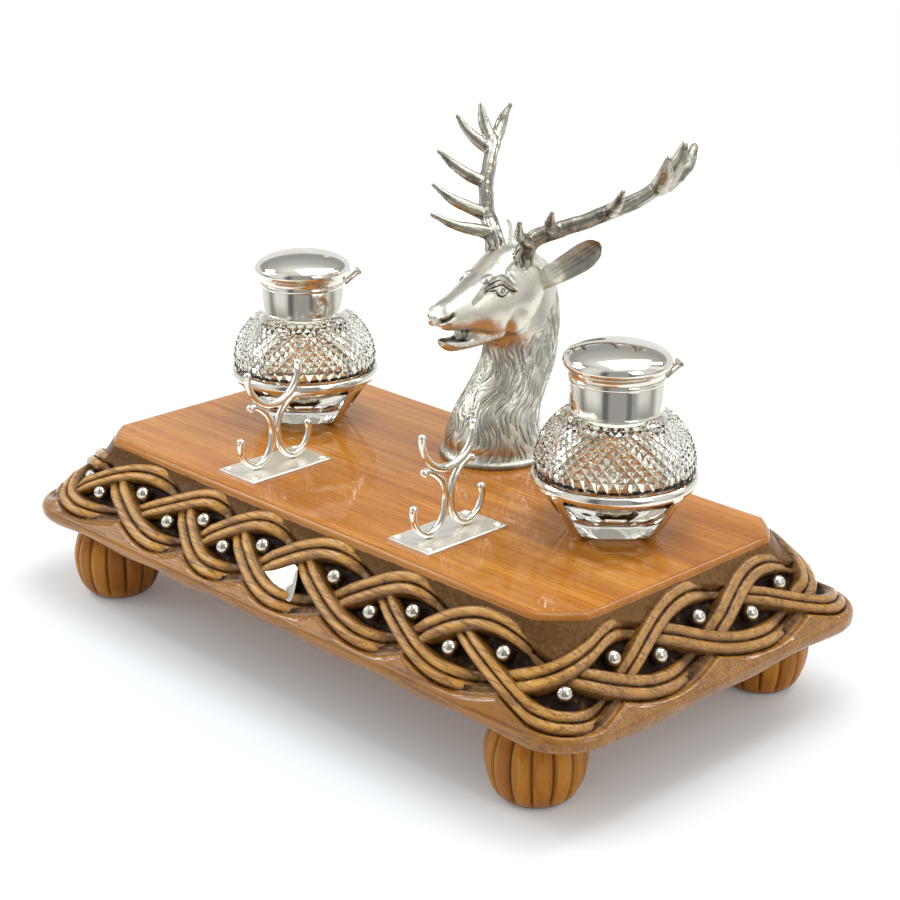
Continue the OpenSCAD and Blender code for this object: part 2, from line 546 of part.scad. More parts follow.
module stag_washer() color("gold") at_bust() translate([0, 0, -web_t - washer_t]) difference() {
  cylinder(r = washer_r, h = washer_t);
  translate([0, 0, -1]) cylinder(r = stud_r + 2 * fit, h = washer_t + 2);
}
module stag_nut() color("gold") at_bust() translate([0, 0, -web_t - washer_t - nut_t]) difference() {
  cylinder(r = nut_r, h = nut_t, $fn = 6);
  translate([0, 0, -1]) cylinder(r = stud_r + fit, h = nut_t + 2);
}

module glass(s) color([0.8, 0.84, 0.74, 0.5]) at_bottle(s) translate([0, 0, glass_z]) difference() {
  rotate_extrude() polygon(concat([[0, 0]], glass_out, [[glass_neck_r, glass_top]], glass_in));
  for (a = [45:90:315]) rotate([0, 0, a]) translate([flat_low, 0, 0]) rotate([0, flat_tilt, 0])
    translate([0, -40, -20]) cube([30, 80, 20 + low_h / cos(flat_tilt)]);
  translate([0, 0, -1]) cylinder(r = seat_r - 2, h = 2.2);
}
module collar(s) color(silver) at_bottle(s) translate([0, 0, glass_z + collar_top]) rotate([0, 0, hinge_turn]) difference() {
  union() {
    rotate_extrude() polygon([[collar_in, -collar_h], [collar_r + 0.35, -collar_h], [collar_r + 0.35, -collar_h + 0.9],
      [collar_r, -collar_h + 1.3], [collar_r, 0], [mouth_r + 0.6, 0], [mouth_r + 0.6, -lip_t], [collar_in, -lip_t]]);
    leaf([[collar_r - 0.6, -leaf_t - 0.1], [collar_r + 1.4, -leaf_t - 0.1], [hinge_out - knuckle_r - 1.6, hinge_up - knuckle_r - 2.1]], hinge_w);
    for (m = [-1, 1]) translate([0, m * (hinge_w - knuckle_end) / 2, 0])
      leaf([[hinge_out - knuckle_r - 2, hinge_up - knuckle_r - 2.5], [hinge_out + 0.1, hinge_up - knuckle_r * 0.62]], knuckle_end);
    knuckle(-hinge_w / 2, -hinge_w / 2 + knuckle_end);
    knuckle(hinge_w / 2 - knuckle_end, hinge_w / 2);
  }
  pin_hole();
}
module hinge_pin(s) color(silver) at_bottle(s) translate([0, 0, glass_z + collar_top]) rotate([0, 0, hinge_turn])
  translate([hinge_out, -hinge_w / 2 - 0.3, hinge_up]) rotate([-90, 0, 0]) cylinder(r = hinge_pin_r, h = hinge_w + 0.6, $fn = 32);
module lid(s) color(silver) at_bottle(s) translate([0, 0, glass_z + collar_top]) rotate([0, 0, hinge_turn]) difference() {
  union() {
    translate([0, 0, lid_gap]) rotate_extrude() polygon(concat(lid_out, lid_in));
    leaf([[rim_r - 0.8, 1.2], [rim_r + 0.6, 1.2], [hinge_out - knuckle_r * 0.7, hinge_up - knuckle_r * 0.1]], knuckle_mid);
    knuckle(-knuckle_mid / 2, knuckle_mid / 2);
  }
  pin_hole();
}
module glass_left() glass(-1);
module glass_right() glass(1);
module collar_left() collar(-1);
module collar_right() collar(1);
module hinge_pin_left() hinge_pin(-1);
module hinge_pin_right() hinge_pin(1);
module lid_left() lid(-1);
module lid_right() lid(1);

plinth();
foot_front_left();
foot_front_right();
foot_back_left();
foot_back_right();
foot_dowels();
border_pins_front();
border_pins_right();
border_pins_back();
border_pins_left();
plaque();
rest_plate_left();
rest_plate_right();
rest_scrolls_left();
rest_scrolls_right();
rest_fork_left();
rest_fork_right();
rest_tacks();
gallery_ring_left();
gallery_ring_right();
gallery_straps_left();
gallery_straps_right();
gallery_screws();
stag_bust();
stag_ear_left();
stag_ear_right();
antler_left();
antler_right();
stag_stud();
stag_washer();
stag_nut();
glass_left();
glass_right();
collar_left();
collar_right();
hinge_pin_left();
hinge_pin_right();
lid_left();
lid_right();
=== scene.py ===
import math

import bpy
import numpy as np
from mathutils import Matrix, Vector


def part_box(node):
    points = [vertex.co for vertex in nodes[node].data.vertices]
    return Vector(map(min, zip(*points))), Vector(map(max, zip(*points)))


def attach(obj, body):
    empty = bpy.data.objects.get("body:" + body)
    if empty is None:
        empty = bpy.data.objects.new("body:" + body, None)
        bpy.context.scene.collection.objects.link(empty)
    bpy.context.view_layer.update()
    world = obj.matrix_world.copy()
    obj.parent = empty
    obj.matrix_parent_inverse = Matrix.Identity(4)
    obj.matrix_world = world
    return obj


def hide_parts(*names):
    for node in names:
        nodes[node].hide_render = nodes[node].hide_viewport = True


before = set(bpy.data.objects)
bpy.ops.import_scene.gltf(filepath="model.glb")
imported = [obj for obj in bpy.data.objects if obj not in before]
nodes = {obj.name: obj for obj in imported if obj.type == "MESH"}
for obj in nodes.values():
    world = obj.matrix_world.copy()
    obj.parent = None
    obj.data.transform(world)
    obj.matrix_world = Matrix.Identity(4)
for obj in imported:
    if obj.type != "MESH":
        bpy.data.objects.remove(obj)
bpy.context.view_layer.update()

MM = 0.001

# Sizes of the stand in millimetres, as the solids have them
plinth_low, plinth_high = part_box("plinth")
PLINTH_Y = (plinth_low.y + plinth_high.y) / 2 / MM
FOOT_H, TOP = 37.0, 81.5
RIM_L, RIM_W, RIM_TURN = 189.0, 101.0, 24.5
EDGE_L, EDGE_W, EDGE_TURN = 161.5, 76.5, 18.0
SLOPE_LOW, SLOPE_TOP, SLOPE_MID = 45.0, 79.0, 63.0
RUN_L, RUN_W, TURN_R = 153.8, 67.69, 20.0
TURN = math.pi * TURN_R / 2
LOOP = 4 * (RUN_L + RUN_W + TURN)
BOTTLE_X, BOTTLE_Y = 105.4, PLINTH_Y + 17.0
REST_X, REST_Y = 59.6, PLINTH_Y - 41.4
BUST_AT = np.array([0, PLINTH_Y + 48.0, TOP])


# Small helpers for modelling

def alone(piece):
    """Only this piece is selected and active."""
    bpy.ops.object.select_all(action="DESELECT")
    piece.select_set(True)
    bpy.context.view_layer.objects.active = piece
    return piece


def settle(piece):
    """Puts the object at the origin, with its place in its mesh."""
    alone(piece)
    bpy.ops.object.transform_apply(location=True, rotation=True, scale=True)
    return piece


def use(piece, kind, **values):
    """Adds a modifier, sets it and applies it."""
    alone(piece)
    modifier = piece.modifiers.new(kind.lower(), kind)
    for name, value in values.items():
        setattr(modifier, name, value)
    bpy.ops.object.modifier_apply(modifier=modifier.name)
    return piece


def added(name, shape, **values):
    """Adds one of Blender's own shapes by itself and names it."""
    bpy.ops.object.select_all(action="DESELECT")
    shape(**values)
    piece = bpy.context.active_object
    piece.name = name
    return piece


def moved(piece, spot, turn=(0, 0, 0)):
    """Turns a piece made at the origin and puts it at a spot in millimetres."""
    piece.rotation_euler = turn
    piece.location = Vector(spot) * MM
    return settle(piece)


def eased(piece, width, segments, angle):
    """Takes the sharpness off the edges."""
    return use(piece, "BEVEL", width=width * MM, segments=segments, limit_method="ANGLE",
               angle_limit=math.radians(angle))


def smooth(piece, angle):
    """Smooth shading, but sharp over the given angle."""
    alone(piece)
    bpy.ops.object.shade_smooth_by_angle(angle=math.radians(angle))
    return piece


def join(name, pieces):
    """Makes one piece of several."""
    bpy.ops.object.select_all(action="DESELECT")
    for piece in pieces:
        piece.select_set(True)
    bpy.context.view_layer.objects.active = pieces[0]
    bpy.ops.object.join()
    whole = bpy.context.active_object
    whole.name = name
    whole.data.name = name
    return whole


def points_of(piece):
    """The points in millimetres."""
    co = np.zeros(len(piece.data.vertices) * 3)
    piece.data.vertices.foreach_get("co", co)
    return co.reshape(-1, 3) / MM


def set_points(piece, points):
    piece.data.vertices.foreach_set("co", (points * MM).ravel())
    piece.data.update()


def normals_of(piece):
    out = np.zeros(len(piece.data.vertices) * 3)
    piece.data.vertices.foreach_get("normal", out)
    return out.reshape(-1, 3)


def mark(piece, name, values):
    """Stores a value at each point, which the materials read."""
    layer = piece.data.attributes.new(name, "FLOAT", "POINT")
    layer.data.foreach_set("value", np.clip(values, 0, 1).astype(np.float32))


def sheet_faces(rows, columns, closed_rows=False, closed_columns=False):
    """Four-sided faces over a grid of rows and columns of points."""
    r = np.arange(rows if closed_rows else rows - 1)
    c = np.arange(columns if closed_columns else columns - 1)
    r, c = np.meshgrid(r, c, indexing="ij")
    c1 = (c + 1) % columns
    r, r1 = r * columns, (r + 1) % rows * columns
    return np.stack([r + c, r + c1, r1 + c1, r1 + c], -1).reshape(-1, 4)


def from_points(name, points, quads, more):
    """A mesh from points in millimetres, four-sided faces and other faces."""
    mesh = bpy.data.meshes.new(name)
    mesh.vertices.add(len(points))
    mesh.vertices.foreach_set("co", (np.asarray(points, float) * MM).ravel())
    corners = [np.asarray(quads, int).ravel()] + [np.asarray(face, int) for face in more]
    sizes = np.array([4] * len(quads) + [len(face) for face in more])
    mesh.loops.add(int(sizes.sum()))
    mesh.loops.foreach_set("vertex_index", np.concatenate(corners))
    mesh.polygons.add(len(sizes))
    mesh.polygons.foreach_set("loop_start", np.concatenate([[0], np.cumsum(sizes)[:-1]]))
    mesh.update(calc_edges=True)
    mesh.validate()
    piece = bpy.data.objects.new(name, mesh)
    bpy.context.scene.collection.objects.link(piece)
    return piece


def right_way_out(piece):
    """All faces of a closed piece point outwards."""
    alone(piece)
    bpy.ops.object.mode_set(mode="EDIT")
    bpy.ops.mesh.select_all(action="SELECT")
    bpy.ops.mesh.remove_doubles(threshold=0.000001)
    bpy.ops.mesh.normals_make_consistent(inside=False)
    bpy.ops.object.mode_set(mode="OBJECT")
    return piece


def closed_skin(name, rings, hollow=None):
    """A closed skin through rings of points, with a cap at both ends."""
    rings = np.asarray(rings)
    count, n = rings.shape[:2]
    caps = (list(range(n)), list(range((count - 1) * n, count * n)))
    piece = from_points(name, rings.reshape(-1, 3), sheet_faces(count, n, closed_columns=True), caps)
    if hollow is not None:
        mark(piece, "hollow", hollow)
    return right_way_out(piece)


def turned(name, outline, x, y, z, steps):
    """Draws an outline of (radius, height) point by point and spins it round a vertical axis."""
    start = ((x + outline[0][0]) * MM, y * MM, (z + outline[0][1]) * MM)
    piece = added(name, bpy.ops.mesh.primitive_plane_add, size=MM, location=start)
    bpy.ops.object.mode_set(mode="EDIT")
    bpy.ops.mesh.select_all(action="SELECT")
    bpy.ops.mesh.merge(type="CENTER")
    for a, b in zip(outline, outline[1:]):
        step = ((b[0] - a[0]) * MM, 0, (b[1] - a[1]) * MM)
        bpy.ops.mesh.extrude_region_move(TRANSFORM_OT_translate={"value": step})
    bpy.ops.mesh.select_all(action="SELECT")
    bpy.ops.mesh.spin(steps=steps, angle=2 * math.pi, center=(x * MM, y * MM, 0), axis=(0, 0, 1))
    bpy.ops.object.mode_set(mode="OBJECT")
    right_way_out(piece)
    return settle(piece)


def rod(name, path, sides, fine):
    """A round rod along points of (x, y, z, radius)."""
    line = added(name, bpy.ops.curve.primitive_bezier_curve_add, location=(0, 0, 0))
    spline = line.data.splines[0]
    spline.bezier_points.add(len(path) - 2)
    for knot, (x, y, z, radius) in zip(spline.bezier_points, path):
        knot.co = (x * MM, y * MM, z * MM)
        knot.handle_left_type = knot.handle_right_type = "AUTO"
        knot.radius = radius
    line.data.bevel_depth = MM
    line.data.bevel_resolution = sides
    line.data.resolution_u = fine
    line.data.use_fill_caps = True
    alone(line)
    bpy.ops.object.convert(target="MESH")
    return bpy.context.active_object


def ball(name, x, y, z, radius, around=24, up=14, squash=(1, 1, 1), turn=(0, 0, 0)):
    """A ball, or an egg where it is squashed."""
    return settle(added(name, bpy.ops.mesh.primitive_uv_sphere_add, segments=around, ring_count=up,
                        radius=radius * MM, location=(x * MM, y * MM, z * MM), rotation=turn, scale=squash))


def through(points, n):
    """A smooth row of points through the given ones, n for each step."""
    p = [np.array(q, float) for q in points]
    out = []
    for i in range(len(p) - 1):
        a = 2 * p[0] - p[1] if i == 0 else p[i - 1]
        d = p[i + 2] if i + 2 < len(p) else 2 * p[i + 1] - p[i]
        b, c = p[i], p[i + 1]
        for j in range(n):
            t = j / n
            out.append(0.5 * (2 * b + (c - a) * t + (2 * a - 5 * b + 4 * c - d) * t * t
                              + (3 * b - a - 3 * c + d) * t ** 3))
    out.append(p[-1])
    return np.array(out)


def rise(low, high, x):
    """From 0 at low to 1 at high, with soft ends."""
    t = np.clip((x - low) / (high - low), 0, 1)
    return t * t * (3 - 2 * t)


def rolling(seed, *axes):
    """Soft unevenness from -1 to 1, with one unit as its size."""
    rng = np.random.default_rng(seed)
    table = rng.uniform(-1, 1, (64,) * len(axes))
    low = [np.floor(a).astype(int) for a in axes]
    part = [a - l for a, l in zip(axes, low)]
    part = [f * f * (3 - 2 * f) for f in part]
    total = 0
    for corner in range(2 ** len(axes)):
        weight, where = 1, []
        for k in range(len(axes)):
            bit = corner >> k & 1
            weight = weight * (part[k] if bit else 1 - part[k])
            where.append((low[k] + bit) % 64)
        total = total + weight * table[tuple(where)]
    return total


# Materials

def put(tree, kind, plugs=None, **settings):
    """Adds a node, sets it and wires or fills its inputs."""
    node = tree.nodes.new("ShaderNode" + kind)
    for name, value in settings.items():
        setattr(node, name, value)
    for name, value in (plugs or {}).items():
        socket = node.inputs[name]
        if isinstance(value, bpy.types.NodeSocket):
            tree.links.new(value, socket)
        else:
            socket.default_value = value
    return node


def blend(tree, amount, a, b):
    return put(tree, "Mix", {0: amount, 6: a, 7: b}, data_type="RGBA").outputs[2]


def sums(tree, how, a, b=0.0, c=0.0, clamp=False):
    return put(tree, "Math", {0: a, 1: b, 2: c}, operation=how, use_clamp=clamp).outputs[0]


def times(tree, a, b):
    return sums(tree, "MULTIPLY", a, b)


def scale_to(tree, value, low, high, new_low=0.0, new_high=1.0):
    limits = {0: value, 1: low, 2: high, 3: new_low, 4: new_high}
    return put(tree, "MapRange", limits, interpolation_type="SMOOTHSTEP").outputs[0]


def laid_over(tree, base, mask, share, colour):
    """Lays a share of a colour over the base where the mask is."""
    return blend(tree, times(tree, mask, share), base, (*colour, 1))


def colours(tree, value, *stops):
    """A colour for a value, from stops of place and colour."""
    ramp = put(tree, "ValToRGB", {0: value})
    bar = ramp.color_ramp
    while len(bar.elements) < len(stops):
        bar.elements.new(0.5)
    for element, (place, colour) in zip(bar.elements, stops):
        element.position = place
        element.color = (*colour, 1)
    return ramp.outputs[0]


def stretched(tree, point, size, scale, detail, rough=0.55, swirl=0.0, seed=0.0):
    """Noise on object coordinates, with its own scale along X, Y and Z per metre."""
    shifted = {"Vector": point, "Location": (seed, seed * 0.7, seed * 1.3), "Scale": size}
    spread = put(tree, "Mapping", shifted).outputs[0]
    return put(tree, "TexNoise", {"Vector": spread, "Scale": scale, "Detail": detail, "Roughness": rough,
                                  "Distortion": swirl}).outputs[0]


def group(name, inputs, outputs):
    """A shader group with named inputs and outputs; returns its tree, its inputs and its output node."""
    tree = bpy.data.node_groups.new(name, "ShaderNodeTree")
    for label, kind, value in inputs:
        socket = tree.interface.new_socket(name=label, in_out="INPUT", socket_type="NodeSocket" + kind)
        if kind != "Vector":
            socket.default_value = value
    for label, kind in outputs:
        tree.interface.new_socket(name=label, in_out="OUTPUT", socket_type="NodeSocket" + kind)
    return tree, tree.nodes.new("NodeGroupInput").outputs, tree.nodes.new("NodeGroupOutput").inputs


def place(tree, made, plugs):
    """Puts a shared group into a material."""
    node = tree.nodes.new("ShaderNodeGroup")
    node.node_tree = made
    for name, value in plugs.items():
        if isinstance(value, bpy.types.NodeSocket):
            tree.links.new(value, node.inputs[name])
        else:
            node.inputs[name].default_value = value
    return node.outputs


def emptied(owner):
    """The node tree of a material or a world, with nothing in it."""
    owner.use_nodes = True
    owner.node_tree.nodes.clear()
    return owner.node_tree


def finish_named(name, **values):
    """A new material with a Principled shader; returns material, tree, shader and object coordinates."""
    material = bpy.data.materials.new(name)
    tree = emptied(material)
    shader = put(tree, "BsdfPrincipled")
    for label, value in values.items():
        shader.inputs[label.replace("_", " ")].default_value = value
    put(tree, "OutputMaterial", {"Surface": shader.outputs[0]})
    point = put(tree, "TexCoord").outputs["Object"]
    return material, tree, shader, point


def wire(tree, shader, **plugs):
    """Wires sockets into a shader's inputs by name."""
    for label, value in plugs.items():
        tree.links.new(value, shader.inputs[label.replace("_", " ")])


def stored(tree, name):
    """The value that mark stored at the points."""
    return put(tree, "Attribute", attribute_name=name).outputs["Fac"]


def bump(tree, height, distance, strength):
    return put(tree, "Bump", {"Height": height, "Distance": distance, "Strength": strength}).outputs[0]


def enlarged(tree, point, factor):
    return put(tree, "VectorMath", {0: point, "Scale": factor}, operation="SCALE").outputs[0]


# Shared finish: the figure of oak, with bands, fine lines and short pores along X
oak_figure, given, found = group("oak figure", [("Point", "Vector", None), ("Coarseness", "Float", 1.0)],
                                 [("Bands", "Float"), ("Lines", "Float"), ("Pores", "Float")])
sized = enlarged(oak_figure, given["Point"], given["Coarseness"])
bands = stretched(oak_figure, sized, (5, 75, 75), 1.0, 4.0, 0.6, 0.5)
lines = stretched(oak_figure, sized, (16, 620, 620), 1.0, 3.0, 0.6, 0.25, 3.1)
pores = stretched(oak_figure, sized, (150, 1500, 1500), 1.0, 2.0, 0.5, 0.0, 7.7)
oak_figure.links.new(scale_to(oak_figure, bands, 0.3, 0.7), found["Bands"])
oak_figure.links.new(scale_to(oak_figure, lines, 0.36, 0.66), found["Lines"])
oak_figure.links.new(scale_to(oak_figure, pores, 0.60, 0.68), found["Pores"])

# Shared finish: painted shade and grime, darkening the recesses of a worked surface
shade_and_grime_group, given, found = group("painted shade and grime", [("Colour", "Color", (1, 1, 1, 1)),
                                                    ("Shade and grime colour", "Color", (0, 0, 0, 1)),
                                                    ("Recess", "Float", 0.0), ("Point", "Vector", None)],
                                   [("Colour", "Color"), ("Amount", "Float")])
uneven = stretched(shade_and_grime_group, given["Point"], (1, 1, 1), 260.0, 3.0)
uneven = scale_to(shade_and_grime_group, uneven, 0.2, 0.7, 0.7, 1.25)
held = sums(shade_and_grime_group, "MULTIPLY", given["Recess"], uneven, clamp=True)
shade_and_grime_group.links.new(blend(shade_and_grime_group, held, given["Colour"], given["Shade and grime colour"]), found["Colour"])
shade_and_grime_group.links.new(held, found["Amount"])

# Shared finish: fine rubbing lines on silver
rubbed, given, found = group("rubbed silver", [("Point", "Vector", None), ("Line length", "Float", 1.0)],
                             [("Height", "Float"), ("Blotches", "Float")])
sized = enlarged(rubbed, given["Point"], given["Line length"])
rubbed.links.new(stretched(rubbed, sized, (260, 260, 5200), 1.0, 3.0, 0.6), found["Height"])
blotches = stretched(rubbed, given["Point"], (1, 1, 1), 70.0, 3.0)
rubbed.links.new(scale_to(rubbed, blotches, 0.3, 0.7), found["Blotches"])


def shaded_and_soiled(tree, point, colour, shade_and_grime_colour):
    """Colour darkened by painted shade and grime, and its amount, from the recess values stored at the
    points.
    """
    return place(tree, shade_and_grime_group, {"Colour": colour, "Shade and grime colour": (*shade_and_grime_colour, 1),
                                      "Recess": stored(tree, "hollow"), "Point": point})


def oak_tint(tree, point, low, middle, high, coarseness=1.0):
    """The figure of oak, and its bands in three colours from dark to light."""
    figure = place(tree, oak_figure, {"Point": point, "Coarseness": coarseness})
    base = colours(tree, figure["Bands"], (0.0, low), (0.5, middle), (1.0, high))
    return figure, base


def varnished_field():
    """Glossy varnish over straight-grained oak, with painted shade on the side of the raised edge."""
    material, tree, shader, point = finish_named("varnished field", Coat_Weight=0.62, Coat_Roughness=0.06,
                                                 Coat_IOR=1.5, Specular_IOR_Level=0.1)
    figure, base = oak_tint(tree, point, (0.46, 0.150, 0.012), (0.58, 0.215, 0.020), (0.68, 0.29, 0.036))
    dark = laid_over(tree, base, figure["Lines"], 0.5, (0.36, 0.110, 0.010))
    dark = laid_over(tree, dark, figure["Pores"], 0.5, (0.20, 0.045, 0.006))
    # Painted shade on the side of the raised edge
    edge = scale_to(tree, stored(tree, "edge"), 0.0, 1.0)
    dark = laid_over(tree, dark, edge, 0.5, (0.33, 0.125, 0.018))
    rough = scale_to(tree, figure["Lines"], 0.0, 1.0, 0.34, 0.46)
    wave = stretched(tree, point, (14, 60, 20), 1.0, 2.0)
    wire(tree, shader, Base_Color=dark, Roughness=rough, Normal=bump(tree, figure["Pores"], 0.00003, 0.35),
         Coat_Normal=bump(tree, wave, 0.0004, 0.25))
    return material


def carved_oak():
    """Ribbons, band below and rough strip above in their own tints, with crests lightened by wear and a
    painted highlight, and recesses darkened by painted shade and grime.
    """
    material, tree, shader, point = finish_named("carved oak", Specular_IOR_Level=0.1, Coat_Roughness=0.12)
    figure, ribbon_wood = oak_tint(tree, point, (0.225, 0.088, 0.010), (0.365, 0.155, 0.017),
                                   (0.500, 0.235, 0.030))
    band_wood = colours(tree, figure["Bands"], (0.0, (0.32, 0.128, 0.014)), (1.0, (0.46, 0.205, 0.026)))
    speckle = stretched(tree, point, (1, 1, 1), 420.0, 2.0)
    strip_wood = colours(tree, speckle, (0.3, (0.105, 0.048, 0.014)), (0.75, (0.170, 0.085, 0.027)))
    body = blend(tree, stored(tree, "ribbon"), band_wood, ribbon_wood)
    # Crests made golden, partly by wear and partly as a painted highlight
    body = laid_over(tree, body, stored(tree, "crest_wear_and_highlight"), 0.85, (0.74, 0.395, 0.085))
    streaks = scale_to(tree, stretched(tree, point, (22, 430, 430), 1.0, 3.0, 0.6, 0.2, 2.3), 0.50, 0.66)
    short = scale_to(tree, stretched(tree, point, (70, 1100, 1100), 1.0, 2.0, 0.5, 0.0, 9.1), 0.56, 0.66)
    body = laid_over(tree, body, streaks, 0.62, (0.120, 0.042, 0.010))
    body = blend(tree, stored(tree, "strip"), body, strip_wood)
    side = put(tree, "SeparateXYZ", {0: put(tree, "NewGeometry").outputs["Normal"]}).outputs[0]
    end = scale_to(tree, sums(tree, "ABSOLUTE", side), 0.35, 0.8, 0.0, 0.4)
    body = blend(tree, end, body, (0.250, 0.128, 0.042, 1))
    body = laid_over(tree, body, short, 0.5, (0.065, 0.026, 0.008))
    # Painted shade and grime darken the recesses
    shade_and_grime = shaded_and_soiled(tree, point, body, (0.016, 0.008, 0.004))
    chatter = stretched(tree, point, (60, 160, 160), 1.0, 2.0, seed=5.0)
    rough = scale_to(tree, shade_and_grime["Amount"], 0.0, 1.0, 0.30, 0.6)
    height = sums(tree, "SUBTRACT", times(tree, chatter, 0.9), times(tree, short, 0.5))
    rounded = bump(tree, height, 0.0003, 0.5)
    varnish = scale_to(tree, shade_and_grime["Amount"], 0.2, 0.9, 0.85, 0.05)
    varnish = times(tree, varnish, sums(tree, "SUBTRACT", 1.0, stored(tree, "strip")))
    wire(tree, shader, Base_Color=shade_and_grime["Colour"], Roughness=rough, Normal=rounded, Coat_Normal=rounded,
         Coat_Weight=varnish)
    return material


def turned_oak():
    """The feet's darker oak, with its grain upright."""
    material, tree, shader, point = finish_named("turned oak", Coat_Weight=0.25, Coat_Roughness=0.16,
                                                 Specular_IOR_Level=0.1)
    upright = put(tree, "Mapping", {"Vector": point, "Rotation": (0, math.radians(90), 0)}).outputs[0]
    dark, middle, light = (0.30, 0.100, 0.007), (0.42, 0.160, 0.012), (0.53, 0.225, 0.020)
    figure, base = oak_tint(tree, upright, dark, middle, light, 1.3)
    base = laid_over(tree, base, figure["Lines"], 0.3, (0.24, 0.07, 0.012))
    # Painted shade and grime in the grooves and at the ends of the feet
    shade_and_grime = shaded_and_soiled(tree, point, base, (0.045, 0.018, 0.008))
    rough = scale_to(tree, shade_and_grime["Amount"], 0.0, 1.0, 0.32, 0.6)
    wire(tree, shader, Base_Color=shade_and_grime["Colour"], Roughness=rough,
         Normal=bump(tree, figure["Lines"], 0.00008, 0.3))
    return material


def plain_wood():
    material, tree, shader, point = finish_named("plain dowel wood", Roughness=0.6)
    figure, base = oak_tint(tree, point, (0.42, 0.25, 0.11), (0.50, 0.31, 0.15), (0.58, 0.38, 0.20), 1.5)
    wire(tree, shader, Base_Color=base, Normal=bump(tree, figure["Lines"], 0.00005, 0.4))
    return material


def silver(name, colour, rough_low, rough_high, marks, dent=0.0, stored_recess=False):
    """Silver with fine rubbing lines, and where asked hammer marks and recesses darkened by painted shade and
    oxide.
    """
    material, tree, shader, point = finish_named(name, Metallic=1.0)
    skin = place(tree, rubbed, {"Point": point, "Line length": 1.0})
    warm = tuple(c * k for c, k in zip(colour, (0.95, 0.92, 0.86)))
    tint = blend(tree, skin["Blotches"], (*colour, 1), (*warm, 1))
    rough = scale_to(tree, skin["Blotches"], 0.0, 1.0, rough_low, rough_high)
    height = times(tree, skin["Height"], marks)
    if dent:
        hammer_marks = {"Vector": point, "Scale": 330.0, "Smoothness": 0.6}
        cells = put(tree, "TexVoronoi", hammer_marks, feature="SMOOTH_F1").outputs[0]
        height = sums(tree, "ADD", height, times(tree, cells, dent))
    if stored_recess:
        # Painted shade, with oxide, in the recesses
        shade_and_grime = shaded_and_soiled(tree, point, tint, (0.06, 0.055, 0.045))
        tint = shade_and_grime["Colour"]
        rough = sums(tree, "ADD", rough, times(tree, shade_and_grime["Amount"], 0.22))
    wire(tree, shader, Base_Color=tint, Roughness=rough, Normal=bump(tree, height, 0.00025, 0.35))
    return material


def cut_glass():
    """Clear, slightly green glass, a little rubbed."""
    material, tree, shader, point = finish_named("cut glass", Base_Color=(0.955, 0.955, 0.88, 1), IOR=1.5,
                                                 Transmission_Weight=1.0, Specular_IOR_Level=0.5)
    skin = place(tree, rubbed, {"Point": point, "Line length": 0.4})
    wire(tree, shader, Roughness=scale_to(tree, skin["Blotches"], 0.0, 1.0, 0.0, 0.035))
    return material


def plain_metal(name, colour, rough):
    material, tree, shader, point = finish_named(name, Metallic=1.0)
    skin = place(tree, rubbed, {"Point": point, "Line length": 1.0})
    tint = blend(tree, skin["Blotches"], (*colour, 1), (*[c * 0.8 for c in colour], 1))
    rough = scale_to(tree, skin["Blotches"], 0.0, 1.0, rough, rough + 0.15)
    wire(tree, shader, Base_Color=tint, Roughness=rough, Normal=bump(tree, skin["Height"], 0.00004, 0.3))
    return material


FIELD, CARVED, TURNED, DOWEL = varnished_field(), carved_oak(), turned_oak(), plain_wood()
BRIGHT = silver("polished silver", (0.80, 0.785, 0.725), 0.04, 0.11, 0.06)
# Darker silver for the pins, as painted shade for pins set deep in the carving
PINS = silver("pin silver in painted shade", (0.66, 0.64, 0.57), 0.10, 0.20, 0.06)
HAMMERED = silver("hammered silver", (0.98, 0.97, 0.915), 0.30, 0.44, 0.12, dent=0.8)
RESTS = silver("rest silver", (0.88, 0.865, 0.81), 0.07, 0.15, 0.10)
SATIN = silver("satin silver", (0.735, 0.725, 0.65), 0.22, 0.34, 0.45, stored_recess=True)
ANTLERS = silver("antler silver", (0.47, 0.455, 0.395), 0.17, 0.32, 0.6, stored_recess=True)
GLASS = cut_glass()
BRASS, STEEL = plain_metal("brass", (0.72, 0.52, 0.22), 0.28), plain_metal("steel", (0.52, 0.52, 0.53), 0.3)


def dress(piece, body, slot, material, *stands_for):
    """Gives a finished piece its material and its body, and hides the nodes that it stands for; the slot is
    not used.
    """
    piece.data.materials.clear()
    piece.data.materials.append(material)
    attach(piece, body)
    if stands_for:
        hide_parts(*stands_for)
    return piece


# Plinth: carved border

def round_loop(s, hx, hy, c, cut):
    """Point of an outline of the plinth at length s of the border's middle line."""
    quarter = LOOP / 4
    q = np.mod(s, LOOP)
    k = np.floor(q / quarter).astype(int) % 4
    t = q - k * quarter
    t = np.where(k % 2 == 1, quarter - t, t)
    u = np.clip((t - RUN_L) / TURN, 0, 1)
    a = u * math.pi / 2
    x = (1 - cut) * (hx - c + c * np.sin(a)) + cut * (hx - c + c * u)
    y = (1 - cut) * (hy - c + c * np.cos(a)) + cut * (hy - c * u)
    x = np.where(t < RUN_L, (hx - c) * t / RUN_L, x)
    y = np.where(t > RUN_L + TURN, (hy - c) * (1 - (t - RUN_L - TURN) / RUN_W), y)
    return x * np.where(k < 2, 1, -1), y * np.where((k == 0) | (k == 3), -1, 1)


CORNER_A = RUN_L + TURN / 2
CORNER_B = RUN_L + TURN + 2 * RUN_W + TURN / 2
CORNER_C = CORNER_B + 2 * RUN_L + TURN
CORNER_D = CORNER_C + 2 * RUN_W + TURN
right_mid = RUN_L + TURN + RUN_W
